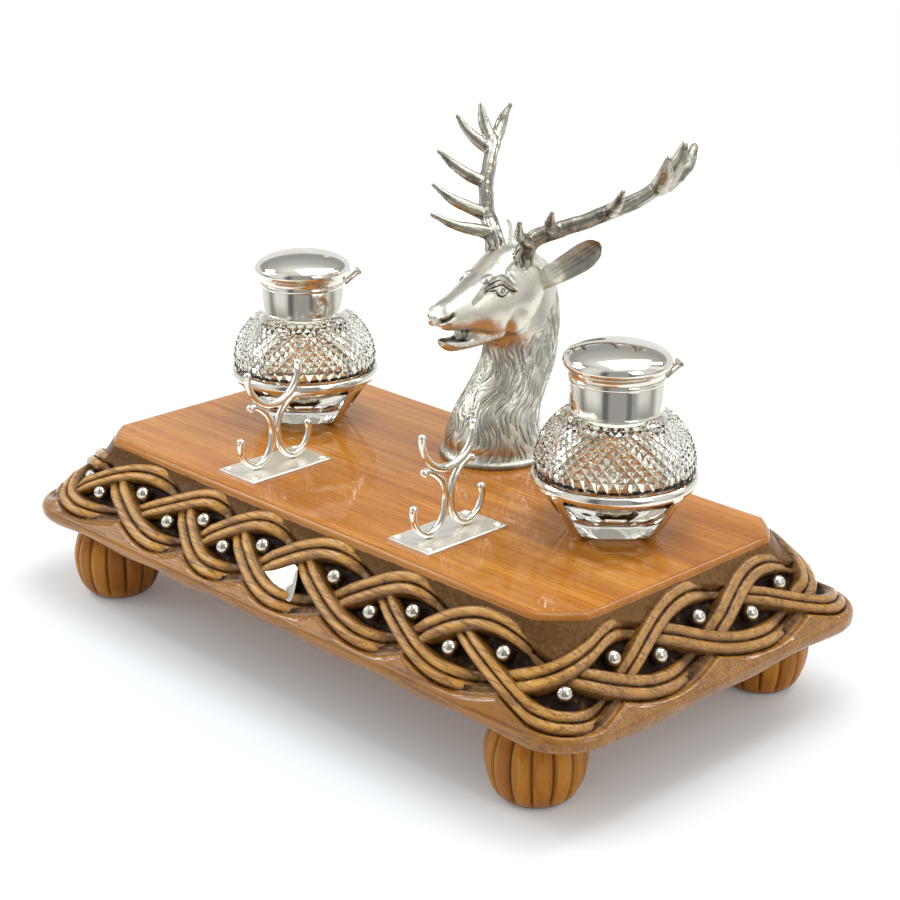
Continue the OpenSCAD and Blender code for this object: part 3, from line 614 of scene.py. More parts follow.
# Where along the border the strands cross: as photographed on the front and right, even on the back and left
CELLS = np.array([5, 0.3875 * RUN_L, 0.705 * RUN_L, CORNER_A,
                  right_mid - 0.459 * RUN_W, right_mid + 0.419 * RUN_W, CORNER_B]
                 + [CORNER_B + (CORNER_C - CORNER_B) * n / 7 for n in range(1, 8)]
                 + [CORNER_C + (CORNER_D - 10 - CORNER_C) * n / 3 for n in range(1, 4)]
                 + [LOOP - 0.9 * RUN_L, LOOP - 0.542 * RUN_L, LOOP - 0.268 * RUN_L, LOOP + 5])
STEP_COUNT = len(CELLS) - 1
# A smooth curve of the plait's phase through the crossings
steps_out = np.diff(np.concatenate([[CELLS[-2] - LOOP], CELLS, [CELLS[1] + LOOP]]))
slopes = (1 / steps_out[:-1] + 1 / steps_out[1:]) / 2
long_s = np.arange(CELLS[0], CELLS[-1] + 0.25, 0.25)
cell_no = np.clip(np.searchsorted(CELLS, long_s, "right") - 1, 0, STEP_COUNT - 1)
wide = CELLS[cell_no + 1] - CELLS[cell_no]
part = (long_s - CELLS[cell_no]) / wide
bend = slopes[cell_no] * (part ** 3 - 2 * part ** 2 + part) + slopes[cell_no + 1] * (part ** 3 - part ** 2)
long_phase = cell_no + part ** 2 * (3 - 2 * part) + wide * bend


def phase(s):
    """How many crossings of the plait lie before length s."""
    turns = np.floor((s - CELLS[0]) / LOOP)
    return np.interp(s - turns * LOOP, long_s, long_phase) + STEP_COUNT * turns


# How far the strands swing up and down, half a ribbon's width, and the depth of the ground between them
SWING, HALF_RIBBON, GROUND = 15.3, 5.2, -6.0


def corner_drop(s):
    """How far the plait hangs lower at the four rounded corners."""
    corners = (CORNER_A, CORNER_B, CORNER_C, CORNER_D)
    near = np.min([np.abs(np.mod(s - c + LOOP / 2, LOOP) - LOOP / 2) for c in corners], axis=0)
    return -4.2 * np.exp(-(near / 24.0) ** 2)


def strand(s, k):
    """Height of strand k on the slope and its angle in the plait."""
    angle = math.pi * 1.5 + 2 * math.pi / 3 * (phase(s) + k)
    return SWING * np.sin(angle) + corner_drop(s), angle


def carving(s, v):
    """Height of the carving above the plain slope, with masks for ribbon, strip, recess and crest; the crest
    mask carries wear and a painted highlight.
    """
    tops, gaps, lines = [], [], []
    for k in range(3):
        x = s.copy()
        for _ in range(4):
            c = strand(x, k)[0]
            slope = (strand(x + 0.2, k)[0] - strand(x - 0.2, k)[0]) / 0.4
            x = x - np.clip(((x - s) + (c - v) * slope) / (1 + slope ** 2), -4, 4)
        c, angle = strand(x, k)
        d = np.hypot(x - s, c - v)
        e = d / HALF_RIBBON
        level = np.sin(2 * angle) / 0.87
        top = -3.6 * np.clip(-level, 0, 1) ** 1.25 + 0.35 * np.clip(level, 0, 1)
        inner = -0.95 * np.exp(-(e / 0.13) ** 2) - 0.50 * np.clip(np.abs(e - 0.5) / 0.5, 0, 1) ** 2
        shape = inner - 1.2 * np.clip((e - 0.70) / 0.30, 0, 1) ** 2
        h = top + np.where(e > 1, -1.7 - (e - 1) * HALF_RIBBON * 4.0, shape)
        tops.append(h)
        gaps.append(d - HALF_RIBBON)
        lines.append((strand(s, k)[0], e))
    tops, gaps = np.array(tops), np.array(gaps)
    best = tops.argmax(0)
    height = tops.max(0)
    upper = np.max([line[0] for line in lines], axis=0)
    lower = np.min([line[0] for line in lines], axis=0)
    above, below = rise(0, 2.5, v - upper), rise(0, 2.5, lower - v)
    gap = np.clip(gaps.min(0), 0, None)
    strip_up = 3.9 + 1.9 * rise(14, 25, v)
    band_up = -GROUND - 2.2 * np.exp(-(gap / 1.2) ** 2) - 0.35 * rise(3.6, 2.6, gap)
    ground = GROUND + above * strip_up + below * band_up
    ground = ground + above * 0.14 * rolling(11, s / 1.7, v / 1.7)
    on_ribbon = height > ground
    e_best = np.take_along_axis(np.array([line[1] for line in lines]), best[None], 0)[0]
    whole = np.maximum(height, ground) + 0.10 * rolling(5, s / 7, v / 5) + 0.05 * rolling(6, s / 2.3, v / 2.3)
    # Dark lines for painted shade along the ribbons' middle grooves and edges, and round the ribbons on the
    # band
    ribbon_lines = np.maximum(np.exp(-(e_best / 0.12) ** 2), 0.55 * rise(0.78, 1.0, e_best))
    buried = np.clip(ground - height, 0, None)
    outline = 0.9 * np.exp(-(gap / 0.8) ** 2 - (buried / 1.9) ** 2)
    band_lines = 0.22 * np.exp(-((gap - 3.1) / 0.5) ** 2) + outline
    groove = np.where(on_ribbon, ribbon_lines, below * band_lines)
    crest = on_ribbon * np.exp(-((e_best - 0.48) / 0.24) ** 2)
    return whole, on_ribbon * 1.0, np.where(on_ribbon, 0, above), groove, crest


def blurred(h, n):
    """Smooths a grid over n points each way."""
    kernel = np.hanning(2 * n + 1)
    kernel /= kernel.sum()
    for axis in (0, 1):
        before, after = (np.repeat(h.take([end], axis), n, axis) for end in (0, -1))
        padded = np.concatenate([before, h, after], axis)
        h = np.apply_along_axis(np.convolve, axis, padded, kernel, "valid")
    return h


def slope_point(s, w):
    """Point of the plain slope at length s, with w from 0 at the rim to 1 at the field's edge."""
    ax, ay = round_loop(s, RIM_L, RIM_W, RIM_TURN, 0)
    bx, by = round_loop(s, EDGE_L, EDGE_W, EDGE_TURN, 0.7)
    z = SLOPE_LOW + (SLOPE_TOP - SLOPE_LOW) * w + 0 * ax
    return np.stack([ax + (bx - ax) * w, ay + (by - ay) * w, z], -1)


MID_SHARE = (SLOPE_MID - SLOPE_LOW) / (SLOPE_TOP - SLOPE_LOW)


def slope_frame(s, v):
    """Place and outward direction on the plain slope, v millimetres above its middle line."""
    s = np.asarray(s, float)
    long = np.linalg.norm(slope_point(s, 1.0) - slope_point(s, 0.0), axis=-1)
    w = MID_SHARE + v / long
    here = slope_point(s, w)
    along = slope_point(s + 0.5, w) - slope_point(s - 0.5, w)
    up = slope_point(s, w + 0.01) - here
    out = np.cross(along, up)
    out = out / np.linalg.norm(out, axis=-1, keepdims=True)
    return here, out


# Half length, half width, corner and height over the feet of the rows from the hidden back face round the rim
RIM_H = 7.2
RIM_ROWS = [(158, 73, 12, 33), (158, 73, 12, 0), (180, 92, 18, 0), (186.4, 98.4, 22.4, 0),
            (187.4, 99.4, 23.2, 0.2), (189.0, 101.0, 24.4, 0.9), (189.8, 101.8, 25, 2.0), (190, 102, 25, 3.2),
            (190, 102, 25, 5.8), (189.6, 101.6, 24.8, RIM_H)]
CARVED_ROWS, CARVED_STEP = 103, 0.44


def carved_border(name, s_from, s_to):
    """One side of the border, carved on a fine grid and closed at the back."""
    count = int(round((s_to - s_from) / CARVED_STEP)) + 1
    s = np.linspace(s_from, s_to, count)
    w = np.linspace(0, 1, CARVED_ROWS)
    long = np.linalg.norm(slope_point(s, 1.0) - slope_point(s, 0.0), axis=-1)
    ss, ww = np.meshgrid(s, w, indexing="xy")
    vv = (ww - MID_SHARE) * long[None, :]
    height, ribbon, strip, groove, crest = carving(ss, vv)
    soft = blurred(height, 6)
    # Crests lightened partly by wear and partly as a painted highlight
    crest_wear_and_highlight = crest * rise(-3.4, -0.6, height) * (0.75 + 0.35 * rolling(14, ss / 5, vv / 5))
    # Painted shade, with some grime, on the deep ground, in the carved lines and in cavities
    low_ground = np.clip((-height - 2.2) / 2.8, 0, 1) * (1 - 0.55 * strip)
    hollow = np.maximum.reduce([low_ground, groove * 0.95, np.clip((soft - height - 0.15) / 0.95, 0, 1)])
    here = slope_point(ss.ravel(), ww.ravel()).reshape(CARVED_ROWS, count, 3)
    out = np.cross(np.gradient(here, axis=1), np.gradient(here, axis=0))
    out /= np.linalg.norm(out, axis=-1, keepdims=True)
    carved = here + out * (height * rise(-0.01, 0.05, ww))[..., None]
    wave = bottom_lift(s)
    rim = []
    for hx, hy, c, up in RIM_ROWS:
        x, y = round_loop(s, hx, hy, c, 0)
        lift = wave * (0 if hx < 160 else np.clip((RIM_H - up) / RIM_H, 0, 1))
        rim.append(np.stack([x, y, FOOT_H + up + lift], -1))
    x, y = round_loop(s, EDGE_L - 3.5, EDGE_W - 3.5, 15, 0.7)
    inner = np.stack([x, y, np.full(count, SLOPE_TOP - 3.5)], -1)
    grid = np.concatenate([np.array(rim), carved, inner[None]], 0)
    grid[..., 1] += PLINTH_Y
    starts = np.arange(len(grid)) * count
    faces = sheet_faces(len(grid), count, closed_rows=True)
    piece = from_points(name, grid.reshape(-1, 3), faces, (starts, starts[::-1] + count - 1))
    masks = {"hollow": hollow, "ribbon": blurred(ribbon, 1), "strip": blurred(strip, 1), "crest_wear_and_highlight": crest_wear_and_highlight}
    for label, values in masks.items():
        mark(piece, label, np.pad(values, ((len(rim), 1), (0, 0))).ravel())
    return smooth(piece, 62)


def bottom_lift(s):
    """The lower edge of the hand-carved rim is a little wavy."""
    return 0.9 + 0.8 * np.sin(2 * math.pi * phase(s)) + 0.5 * rolling(21, s / 31, s * 0)


for side, a, b in (("front", CORNER_D - LOOP, CORNER_A), ("right", CORNER_A, CORNER_B),
                   ("back", CORNER_B, CORNER_C), ("left", CORNER_C, CORNER_D)):
    dress(carved_border("border_" + side, a, b), "stand", "oak", CARVED, "plinth")


# Plinth: polished field, core and underside

# Half length, half width, corner, how far it is cut and height of the rows from the underside to the field
BLOCK_ROWS = [(162, 77, 14, 0.0, FOOT_H), (162, 77, 14, 0.0, FOOT_H + 1), (157.5, 72.5, 14, 0.3, 70),
              (160.7, 75.7, 17, 0.75, 73), (160.9, 75.9, 17, 0.75, 78.4), (160.9, 75.9, 17, 0.75, 79.5),
              (160.5, 75.5, 16.6, 0.8, 80.5), (159.8, 74.8, 16, 0.85, 81.15),
              (158.9, 73.9, 15.4, 0.88, 81.42), (157.6, 72.6, 15, 0.9, TOP), (156.0, 71.0, 15, 0.9, TOP)]
WELL_R, WELL_TOP, WELL_DEEP = 10.5, FOOT_H + 30.5, 31.5


def field_block():
    """The block inside the border: hidden core, raised edge and flat field, with the well under the bust."""
    s = []
    for quarter in range(4):
        run, counts = (RUN_L, (24, 16, 12)) if quarter % 2 == 0 else (RUN_W, (12, 16, 24))
        ends = [quarter * LOOP / 4 + part for part in (0, run, run + TURN, LOOP / 4)]
        s += [np.linspace(a, b, n, endpoint=False) for a, b, n in zip(ends, ends[1:], counts)]
    s = np.concatenate(s)
    grid = []
    for hx, hy, c, cut, z in BLOCK_ROWS:
        x, y = round_loop(s, hx, hy, c, cut)
        grid.append(np.stack([x, y + PLINTH_Y, np.full(len(s), z)], -1))
    grid = np.array(grid)
    rows, count = grid.shape[:2]
    under, over = np.arange(count)[::-1], np.arange((rows - 1) * count, rows * count)
    faces = sheet_faces(rows, count, closed_columns=True)
    piece = from_points("plinth_field", grid.reshape(-1, 3), faces, (under, over))
    well = added("well", bpy.ops.mesh.primitive_cylinder_add, vertices=96, radius=WELL_R * MM,
                 depth=WELL_DEEP * MM, location=(0, BUST_AT[1] * MM, (WELL_TOP - WELL_DEEP / 2) * MM))
    use(piece, "BOOLEAN", operation="DIFFERENCE", object=well, solver="EXACT")
    bpy.data.objects.remove(well)
    # Points on the side of the raised edge, which the field's material darkens with painted shade
    mark(piece, "edge", (points_of(piece)[:, 2] < TOP - 0.02) * 1.0)
    return smooth(piece, 40)


dress(field_block(), "stand", "oak", FIELD, "plinth")


# Feet: one lobed ball foot, copied to the four corners

FOOT_X, FOOT_Y, FOOT_R, FOOT_FLAT_R = 147, 75, 22, 11.2
LOBES = 14


def foot_side(h):
    """Radius of the foot at a height: a ball, wider above."""
    t = h / FOOT_H
    low = 12 + 10 * np.sqrt(np.clip(1 - (1 - t / 0.55) ** 2, 0, 1))
    high = 15 + 7 * np.clip(np.cos(np.radians(90) * (t - 0.55) / 0.45), 0, 1) ** 0.7
    return np.where(t < 0.55, low, high)


def lobed_foot(name, x, y):
    """A ball whose two ends are pressed flat, with a sharp groove between each two lobes."""
    end = 0.09
    piece = added(name, bpy.ops.mesh.primitive_uv_sphere_add, segments=LOBES * 12, ring_count=46,
                  radius=FOOT_R * MM, location=(0, 0, 0))
    p = points_of(piece)
    tilt = np.arccos(np.clip(-p[:, 2] / FOOT_R, -1, 1)) / math.pi
    a = np.arctan2(p[:, 1], p[:, 0])
    h = np.clip((tilt - end) / (1 - 2 * end), 0, 1) * FOOT_H
    flat = np.where(tilt < end, tilt / end, np.where(tilt > 1 - end, (1 - tilt) / end, 1.0))
    u = np.abs(np.mod(a * LOBES / (2 * math.pi), 1) * 2 - 1)
    shown = rise(0.02, 0.16, h / FOOT_H) * (1 - rise(0.93, 1.0, h / FOOT_H) * 0.7)
    groove = np.exp(-((1 - u) / 0.14) ** 2)
    r = foot_side(h) * flat - shown * (0.75 * u ** 2.4 + 1.0 * groove)
    r = np.where(tilt < end, np.clip(tilt / end, 0, 1) * FOOT_FLAT_R, r)
    set_points(piece, np.stack([x + r * np.cos(a), y + PLINTH_Y + r * np.sin(a), h], -1))
    # Painted shade at both flat ends, where the foot meets the floor and the plinth, and in the grooves
    # between lobes
    shaded_ends = 0.9 * (1 - rise(0.0, 0.07, h / FOOT_H)) + 0.5 * rise(0.93, 1, h / FOOT_H)
    mark(piece, "hollow", np.maximum(groove * shown * 0.62, shaded_ends))
    smooth(piece, 50)
    return settle(piece)


for depth, y in (("front", -FOOT_Y), ("back", FOOT_Y)):
    for side, x in (("left", -FOOT_X), ("right", FOOT_X)):
        name = depth + "_" + side
        dress(lobed_foot("lobed_foot_" + name, x, y), "stand", "oak", TURNED, "foot_" + name)


# Silver on the border: pins and plaque

PIN_R, PIN_SUNK = 3.65, 2.3


def pin_row(name, cells):
    """Domed pins in the openings of the plait, deeper where it turns a corner away from the front."""
    balls = []
    for s, v in cells:
        here, out = slope_frame(s, v + float(corner_drop(np.array(s))) * 0.6)
        tucked = float(-corner_drop(np.array(s))) * (0.9 if abs(s - CORNER_A) > 40 else 0.25)
        spot = here - (PIN_SUNK + tucked) * out + [0, PLINTH_Y, 0]
        head = ball(name, 0, 0, 0, PIN_R, 28, 16)
        stem = turned(name + "_stem", [(0, -6.2), (1.5, -6.2), (1.5, -2.6), (0, -2.6)], 0, 0, 0, 16)
        balls.append(moved(join(name, [head, stem]), spot, Vector(out).to_track_quat("Z", "Y").to_euler()))
    return smooth(join(name, balls), 60)


low_spots = [(CELLS[n], -4.0) for n in range(1, STEP_COUNT)]
pin_spots = low_spots + [((CELLS[n] + CELLS[n + 1]) / 2, 4.0) for n in range(STEP_COUNT)]
zones = {"right": (CORNER_A + 8, CORNER_B - 8), "back": (CORNER_B - 8, CORNER_C + 8),
         "left": (CORNER_C + 8, CORNER_D - 12)}
pin_lists = {side: [p for p in pin_spots if a < p[0] < b] for side, (a, b) in zones.items()}
pin_lists["front"] = [p for p in pin_spots if not any(p in some for some in pin_lists.values())]
for side, spots in pin_lists.items():
    dress(pin_row("silver_pins_" + side, spots), "stand", "polished_silver", PINS, "border_pins_" + side)


def blank_plaque():
    """A blank plate with three bowed sides, set into the middle cell."""
    here, out = slope_frame(CELLS[0], -5.0)
    corners = [(-17.2, -0.4), (2.6, 7.2), (8.8, -9.8)]
    outline = []
    for (ax, ay), (bx, by), bow in zip(corners, corners[1:] + corners[:1], (1.7, 1.0, 1.9)):
        for t in np.linspace(0.06, 0.94, 9):
            nx, ny = -(by - ay), bx - ax
            size = math.hypot(nx, ny)
            swell = bow * (1 - (2 * t - 1) ** 2)
            outline.append((ax + (bx - ax) * t + nx / size * swell, ay + (by - ay) * t + ny / size * swell))
    rows = len(outline)
    points = [(x, y, z) for z in (0, 1.7) for x, y in outline]
    sides = [[n, (n + 1) % rows, rows + (n + 1) % rows, rows + n] for n in range(rows)]
    piece = from_points("silver_plaque", points, sides,
                        (list(range(rows))[::-1], list(range(rows, 2 * rows))))
    eased(right_way_out(piece), 0.5, 3, 50)
    spot = here - 3.4 * out + [0, PLINTH_Y, 0]
    return smooth(moved(piece, spot, Vector(out).to_track_quat("Z", "Y").to_euler()), 40)


dress(blank_plaque(), "stand", "polished_silver", BRIGHT, "plaque")


# Pen rests: hammered plate, two scrolls back to back, a fork on top and four tacks

PLATE_X, PLATE_Y, PLATE_T = 13.2, 24.4, 1.5
BAR, BAR_FOOT = 1.65, TOP + 1.6
FORK_R, FORK_UP = 15.5, 45.67
TACKS = [(x, y) for x in (-10.1, 10.1) for y in (-20.9, 20.9)]


def rest_plate(name, x):
    """A thin plate with a dented top, an uneven rim and a hollow round each tack."""
    piece = settle(added(name, bpy.ops.mesh.primitive_cube_add, size=1,
                         location=(0, 0, (TOP + PLATE_T / 2) * MM),
                         scale=(2 * PLATE_X * MM, 2 * PLATE_Y * MM, PLATE_T * MM)))
    bpy.ops.object.mode_set(mode="EDIT")
    bpy.ops.mesh.select_all(action="SELECT")
    bpy.ops.mesh.subdivide(number_cuts=60)
    bpy.ops.object.mode_set(mode="OBJECT")
    p = points_of(piece)
    rim = np.minimum(PLATE_X - np.abs(p[:, 0]), PLATE_Y - np.abs(p[:, 1]))
    upper = p[:, 2] > TOP + 1.2
    dents = 0.035 * rolling(31, p[:, 0] / 2.4 + 20, p[:, 1] / 2.4 + 20)
    dents = dents + 0.015 * rolling(32, p[:, 0] / 0.9 + 40, p[:, 1] / 0.9 + 40)
    waves = 0.07 * rolling(33, p[:, 0] / 6 + 9, p[:, 1] / 6 + 9)
    side = rise(0.9, 0.0, rim)
    p[:, 0] += side * np.sign(p[:, 0]) * waves * (np.abs(p[:, 0]) > 12)
    p[:, 1] += side * np.sign(p[:, 1]) * waves * (np.abs(p[:, 1]) > 23)
    hole = np.min([np.hypot(p[:, 0] - tx, p[:, 1] - ty) for tx, ty in TACKS], axis=0)
    p[:, 2] += upper * (np.minimum(dents, 0.08) - 0.5 * rise(0.9, 0.0, rim) - 0.75 * rise(2.0, 1.1, hole))
    set_points(piece, p + [x, REST_Y, 0])
    # Stored painted shade round each tack and where the scrolls stand; the hammered silver does not read it
    foot = np.min([np.hypot(p[:, 0], np.abs(p[:, 1]) - y) for y in (10.5, 12.5)], axis=0)
    mark(piece, "hollow", upper * np.maximum(rise(2.2, 1.2, hole) * 0.95, 0.35 * rise(3.2, 1.4, foot)))
    return smooth(piece, 40)


# Way out from the middle, height over the plate and radius along one scroll
SCROLL = [(14.3, 31, 1.95), (13.0, 31.25, 1.8), (10.6, 30.6, 1.6), (6.7, 27.9, BAR), (3.4, 23.9, BAR),
          (1.85, 18.9, BAR), (1.95, 14, BAR), (3.3, 7.8, BAR), (7.2, 3.1, BAR), (11.7, 1.6, BAR),
          (16.5, 3.6, 1.6), (20.1, 8.3, 1.5), (21.2, 13.2, 1.7), (20.8, 15.6, 1.95)]


def ended_bar(name, path, fine):
    """A round bar with a ball at both ends."""
    ends = [ball(name + "_end", *spot, 18, 12) for spot in (path[0], path[-1])]
    return join(name, [rod(name, path, sides=6, fine=fine)] + ends)


def scroll(name, x, side):
    """A C-scroll whose two ends turn in."""
    return ended_bar(name, [(x, REST_Y + side * y, BAR_FOOT + z, r) for y, z, r in SCROLL], 7)


def fork(name, x):
    """A U that thins towards its two tips, which swell again."""
    path = []
    for a in np.radians(np.arange(-96, 97, 12)):
        radius = 1.95 - 0.5 * (abs(a) / 1.67) ** 2 + 0.4 * float(rise(1.3, 1.67, abs(a)))
        path.append((x, REST_Y + FORK_R * math.sin(a), BAR_FOOT + FORK_UP - FORK_R * math.cos(a), radius))
    return ended_bar(name, path, 5)


def tack(name, x, y):
    """A small domed pin at a plate's corner."""
    outline = [(0, -4), (0.75, -3.4), (0.75, 0.85), (1.15, 0.9), (1.1, 1.15), (0.6, 1.35), (0, 1.42)]
    return turned(name, outline, x, y, TOP, 20)


for side, name in ((-1, "left"), (1, "right")):
    x = side * REST_X
    dress(rest_plate("hammered_plate_" + name, x), "stand", "hammered_silver", HAMMERED, "rest_plate_" + name)
    pair = join("scrolls_" + name, [scroll("scrolls_" + name, x, s) for s in (-1, 1)])
    dress(smooth(settle(pair), 50), "stand", "hammered_silver", RESTS, "rest_scrolls_" + name)
    dress(smooth(settle(fork("fork_" + name, x)), 50), "stand", "hammered_silver", RESTS, "rest_fork_" + name)
tacks = [tack("tack", s * REST_X + tx, REST_Y + ty) for s in (-1, 1) for tx, ty in TACKS]
dress(smooth(settle(join("tacks", tacks)), 40), "stand", "hammered_silver", HAMMERED, "rest_tacks")


# Galleries, ink bottles, collars and lids

# Radii, and heights over the field, where the glass stands at GLASS_Z
RING_IN, RING_TOP = 35.6, 28.0
STRAP_W, STRAP_T = 2.35, 0.74
GLASS_Z, GLASS_FOOT_R, GLASS_R, LOW_H, FLOOR_H = 1.8, 19.5, 35.0, 21.2, 8
FACET_LOW, FACET_HIGH = 18.3, 33.4
NECK_R, SHOULDER_R, MOUTH_R, ROOM_R = 19.3, 36.6, 14.5, 32.6
CUT_ROWS = 10
COLLAR_TOP = GLASS_Z + 68.5
HINGE_TURN, HINGE_OUT, HINGE_UP, KNUCKLE_R = math.radians(57), 28, 5.2, 1.3
LID_R, DOME_FOOT, DOME_H = 24.2, 8.2, 8.2


def low_r(t):
    """Radius of the glass below the shoulder, with t from 0 at the foot to 1 at the gallery's ring."""
    return GLASS_FOOT_R + (GLASS_R - GLASS_FOOT_R) * np.clip(t, 0, 1) ** 0.78


def gallery_band(name, x):
    """The moulded ring round the bottle."""
    profile = [(35.65, 0.35), (36.2, 0.0), (36.8, 0.25), (37.2, 0.9), (37.4, 1.8), (37.4, 2.9), (37.15, 3.8),
               (36.75, 4.5), (36.2, 4.9), (35.75, 4.85), (RING_IN, 4.4), (RING_IN, 0.9), (35.65, 0.35)]
    return smooth(turned(name, profile, x, BOTTLE_Y, TOP + RING_TOP - 5, 128), 50)


def gallery_legs(name, x):
    """Four strap legs that turn in under the bottle and meet on a round seat."""
    up_the_glass = [(low_r(k) + 1.62, k * LOW_H + GLASS_Z - 0.30) for k in (0.07, 0.2, 0.4, 0.6, 0.8, 0.97)]
    line = through([(8.0, 0.75), (14.0, 0.75), (18.3, 0.78)] + up_the_glass + [(RING_IN + 1.0, 25.6)], 5)
    tangent = np.gradient(line, axis=0)
    tangent /= np.linalg.norm(tangent, axis=1, keepdims=True)
    normal = np.stack([tangent[:, 1], -tangent[:, 0]], -1)
    n = 20
    a = np.arange(n) * 2 * math.pi / n
    round_x = np.sign(np.cos(a)) * np.abs(np.cos(a)) ** 0.45
    round_y = np.sign(np.sin(a)) * np.abs(np.sin(a)) ** 0.7
    legs = []
    for quarter in range(4):
        turn = quarter * math.pi / 2
        rings = []
        for (r, z), (nr, nz) in zip(line, normal):
            flare = 1 + 0.75 * rise(20.5, 25.5, z) * (z > 5)
            across = STRAP_W * flare * round_x
            out = r + nr * STRAP_T * round_y
            up = z + nz * STRAP_T * round_y
            rings.append(np.stack([x + out * math.cos(turn) - across * math.sin(turn),
                                   BOTTLE_Y + out * math.sin(turn) + across * math.cos(turn), TOP + up], -1))
        legs.append(closed_skin(name, rings))
    seat_outline = [(1.85, 0), (10.8, 0), (11, 0.3), (11, 1.2), (10.7, 1.5), (3.3, 1.5), (1.85, 0.1)]
    seat = turned(name + "_seat", seat_outline, x, BOTTLE_Y, TOP, 64)
    return smooth(settle(join(name, legs + [seat])), 45)


def shoulder(a, top_r, foot_r, foot_h, tall):
    """Radius and height at angle a on a domed shoulder that narrows from its foot to its top."""
    return top_r + (foot_r - top_r) * max(math.cos(a), 0) ** 1.3, foot_h + tall * math.sin(a)


def cut_bottle(name, x):
    """Outside from foot to mouth, inside from mouth to floor, with pointed diamonds over the shoulder."""
    n = 88
    turn = np.arange(n) * 2 * math.pi / n
    outer = (NECK_R, SHOULDER_R, 29, 25.5)
    away = np.abs(np.mod(turn, math.pi / 2) - math.pi / 4)
    facets = [(h, 0) for h in (0.35, 1.5, 3, 5, 7.5, 10, 12.5, 15, 17.5, 19.8, 21.1)]
    rings = []
    for h, inset in [(0, 1.0), (0, 0.35)] + facets:
        flat = FACET_LOW + (FACET_HIGH - FACET_LOW) * h / LOW_H
        rings.append((np.minimum(low_r(h / LOW_H), flat / np.cos(away)) - inset, h))
    rings += [(34.9, 22), (GLASS_R, 24), (GLASS_R, 26)]
    first = len(rings)
    for j in range(CUT_ROWS + 1):
        a = math.radians(2 + 64 * (j / CUT_ROWS) ** 1.04)
        r, h = shoulder(a, *outer) if j else (36.0, 27.3)
        odd = (np.arange(n) + j) % 2
        deep = 1.35 * (0.55 + 0.45 * r / SHOULDER_R)
        if 0 < j < CUT_ROWS:
            rings.append((r - deep * odd, h - 0.5 * deep * odd * math.sin(a)))
        else:
            rings.append((r - 0.5 * odd, h))
    rings += [shoulder(a, *outer) for a in np.radians([72, 77, 82, 86, 90])]
    rings += [(NECK_R, 60), (NECK_R, 66.9), (18.9, 67.35), (15.0, 67.4), (MOUTH_R, 67.0), (MOUTH_R, 60)]
    rings += [shoulder(a, MOUTH_R, ROOM_R, 28, 24.5) for a in np.radians([90, 75, 60, 45, 30, 15, 0])]
    rings += [(low_r(t) - 4.6, FLOOR_H + t * 15) for t in (0.8, 0.55, 0.3, 0.1)]
    rings += [(11.5, FLOOR_H), (5.0, FLOOR_H)]
    points = []
    for r, h in rings:
        height = np.full(n, TOP + GLASS_Z + h)
        points.append(np.stack([x + r * np.cos(turn), BOTTLE_Y + r * np.sin(turn), height], -1))
    count = len(rings)
    quads, threes = [], []
    for j in range(count - 1):
        for i in range(n):
            k = (i + 1) % n
            a, b, c, d = j * n + i, j * n + k, (j + 1) * n + k, (j + 1) * n + i
            if first <= j < first + CUT_ROWS:
                threes += [(a, b, d), (b, c, d)] if (i + j - first) % 2 == 0 else [(a, b, c), (a, c, d)]
            else:
                quads.append((a, b, c, d))
    caps = [list(range(n))[::-1], list(range((count - 1) * n, count * n))]
    piece = from_points(name, np.array(points).reshape(-1, 3), quads, threes + caps)
    right_way_out(piece)
    return smooth(piece, 17)


def plate_piece(name, outline, width):
    """A small plate cut to an outline in the plane of the hinge arm, with its edges eased."""
    n = len(outline)
    points = [(r, s * width / 2, h) for s in (-1, 1) for r, h in outline]
    sides = [(i, (i + 1) % n, n + (i + 1) % n, n + i) for i in range(n)]
    piece = right_way_out(from_points(name, points, sides, (list(range(n))[::-1], list(range(n, 2 * n)))))
    return eased(piece, 0.12, 2, 40)


def barrel(name, y_from, y_to):
    """One knuckle of the hinge, round its axis."""
    piece = settle(added(name, bpy.ops.mesh.primitive_cylinder_add, vertices=32, radius=KNUCKLE_R * MM,
                         depth=(y_to - y_from) * MM, rotation=(math.pi / 2, 0, 0),
                         location=(HINGE_OUT * MM, (y_from + y_to) / 2 * MM, HINGE_UP * MM)))
    return eased(piece, 0.15, 2, 40)


def on_neck(piece, x):
    """Turns hinge parts to the back right of the bottle and lifts them onto the collar's top."""
    return moved(piece, (x, BOTTLE_Y, TOP + COLLAR_TOP), (0, 0, HINGE_TURN))


def leaf(outline):
    """A strip of plate under a bent line."""
    return list(outline) + [(r - 0.49, h + 0.49) for r, h in reversed(outline)]


def neck_collar(name, x):
    """A straight collar round the neck, with the hinge's lower leaf and two knuckles."""
    outline = [(19.6, -14), (21.0, -14), (21.1, -13.7), (21.1, -13.3), (20.9, -12.95), (20.72, -12.7),
               (20.7, -12.0), (20.7, -0.35), (20.55, -0.05), (20.3, 0), (15.5, 0), (15.1, -0.15),
               (15.1, -0.9), (19.6, -0.9), (19.6, -14)]
    shell = turned(name, outline, 0, 0, 0, 128)
    leaf_low = plate_piece(name + "_leaf", leaf([(20.2, -0.8), (22.1, -0.8), (25.1, 1.9)]), 6.5)
    ears = []
    for s in (-1, 1):
        ear = plate_piece(name + "_knuckle_leaf", leaf([(24.7, 1.5), (28.1, 4.4)]), 1.8)
        near, far = sorted((s * 1.45, s * 3.25))
        ears += [moved(ear, (0, s * 2.35, 0)), barrel(name + "_knuckle", near, far)]
    return smooth(on_neck(join(name, [shell, leaf_low] + ears), x), 32)


